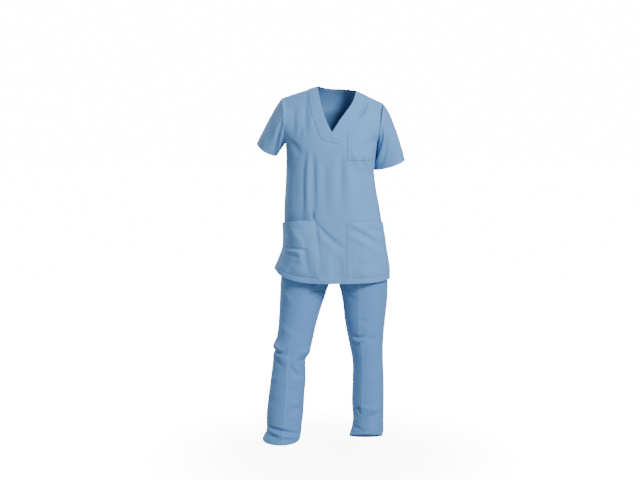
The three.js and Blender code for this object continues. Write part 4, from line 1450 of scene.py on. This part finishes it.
def stitchPiece(name, garment):
    radii = (stitch["length"] / 2, stitch["width"] / 2, stitch["proud"])
    size = Matrix.Diagonal((*[radius * millimetre for radius in radii], 1))
    every = bmesh.new()
    for owner, points, normals in seams:
        if owner != garment:
            continue
        row = bmesh.new()
        for at, along, normal in zip(*evenSteps(points, normals)):
            across = np.cross(normal, along)
            turned = Matrix(np.stack([along, across, np.cross(along, across)], axis=1).tolist()).to_4x4()
            matrix = Matrix.Translation(Vector(at) * millimetre) @ turned @ size
            bmesh.ops.create_icosphere(row, subdivisions=1, radius=1, matrix=matrix)
        mesh = bpy.data.meshes.new("row")
        row.to_mesh(mesh)
        row.free()
        every.from_mesh(mesh)
        bpy.data.meshes.remove(mesh)
    print(name, len(every.faces), "faces")
    piece = meshObject(name, every, threadMaterial)
    piece.data.shade_smooth()
    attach(piece, "root")


stitchPiece("tunic_stitches", "tunic")
stitchPiece("trouser_stitches", "trousers")
print("stitches laid")


# Floor, light and camera

studio = {
    "floorZ": -1.42,
    "floorSize": 60,
    "floorColour": (0.5, 0.5, 0.5, 1),
    "whiteness": 16.0,  # how bright the backdrop looks, without lighting the garment
    "floorRoughness": 0.9,
    # The floor glows less near the garment, a painted soft shade round its foot where the lamps' own shadows
    # also fall: distances in metres, and the share close to it.
    "floorWhite": {"from": 0.1, "to": 0.8, "least": 0.56},
    "worldColour": (1, 1, 1, 1),
    "worldStrength": 0.3,
    "lights": {
        "key": {"at": (2.2, -3.0, 1.95), "size": 1.4, "power": 292},
        "fill": {"at": (-3.2, -2.8, 0.2), "size": 2.6, "power": 25},
        "back": {"at": (-2.6, 2.8, 1.7), "size": 1.6, "power": 150},
    },
    "aim": (0, 0, -0.5),
}

photoCamera = {"at": (-0.0496, -4.5, -0.120), "tilt": 84.184, "lens": 65.95, "sensor": 36}


def backdropStrength(tree, lit, share=1):
    # The camera sees the backdrop bright, and the garment gets only its soft light.
    seen = tree.nodes.new("ShaderNodeLightPath").outputs["Is Camera Ray"]
    extra = calculate(tree, "MULTIPLY", seen, studio["whiteness"] - lit)
    return calculate(tree, "ADD", calculate(tree, "MULTIPLY", extra, share), lit)


def floorMaterial():
    material = bpy.data.materials.new("paleFloor")
    material.use_nodes = True
    tree, white = material.node_tree, studio["floorWhite"]
    place = tree.nodes.new("ShaderNodeTexCoord").outputs["Object"]
    distance = addNode(tree, "ShaderNodeVectorMath", {0: place}, operation="LENGTH")
    # Less glow near the garment: painted soft shade round it.
    share = addNode(tree, "ShaderNodeMapRange", {
        "Value": distance.outputs["Value"],
        "From Min": math.hypot(white["from"], studio["floorZ"]),
        "From Max": math.hypot(white["to"], studio["floorZ"]),
        "To Min": white["least"],
    }, interpolation_type="SMOOTHSTEP")
    setSockets(tree, tree.nodes["Principled BSDF"], {
        "Base Color": studio["floorColour"],
        "Roughness": studio["floorRoughness"],
        "Emission Color": (1, 1, 1, 1),
        "Emission Strength": backdropStrength(tree, 0, share.outputs[0]),
    })
    return material


def studioFloor():
    bm = bmesh.new()
    half = studio["floorSize"] / 2
    bmesh.ops.create_grid(bm, x_segments=1, y_segments=1, size=half)
    bmesh.ops.translate(bm, verts=bm.verts[:], vec=(0, 0, studio["floorZ"]))
    meshObject("floor", bm, floorMaterial())


def studioLight(name, spec):
    light = bpy.data.lights.new(name, "AREA")
    light.shape = "DISK"
    light.size = spec["size"]
    light.energy = spec["power"]
    lamp = bpy.data.objects.new(name, light)
    lamp.location = spec["at"]
    lamp.rotation_euler = (Vector(studio["aim"]) - lamp.location).to_track_quat("-Z", "Y").to_euler()
    bpy.context.scene.collection.objects.link(lamp)


studioFloor()
for name, spec in studio["lights"].items():
    studioLight(name, spec)

world = bpy.data.worlds.new("studio")
bpy.context.scene.world = world
world.use_nodes = True
setSockets(world.node_tree, world.node_tree.nodes["Background"], {
    "Color": studio["worldColour"],
    "Strength": backdropStrength(world.node_tree, studio["worldStrength"]),
})

camera = bpy.data.cameras.new("photoCamera")
camera.lens = photoCamera["lens"]
camera.sensor_width = photoCamera["sensor"]
cameraObject = bpy.data.objects.new("photoCamera", camera)
cameraObject.location = photoCamera["at"]
cameraObject.rotation_euler = (math.radians(photoCamera["tilt"]), 0, 0)
bpy.context.scene.collection.objects.link(cameraObject)
bpy.context.scene.camera = cameraObject
print("floor, lights and camera set")

bpy.context.view_layer.update()
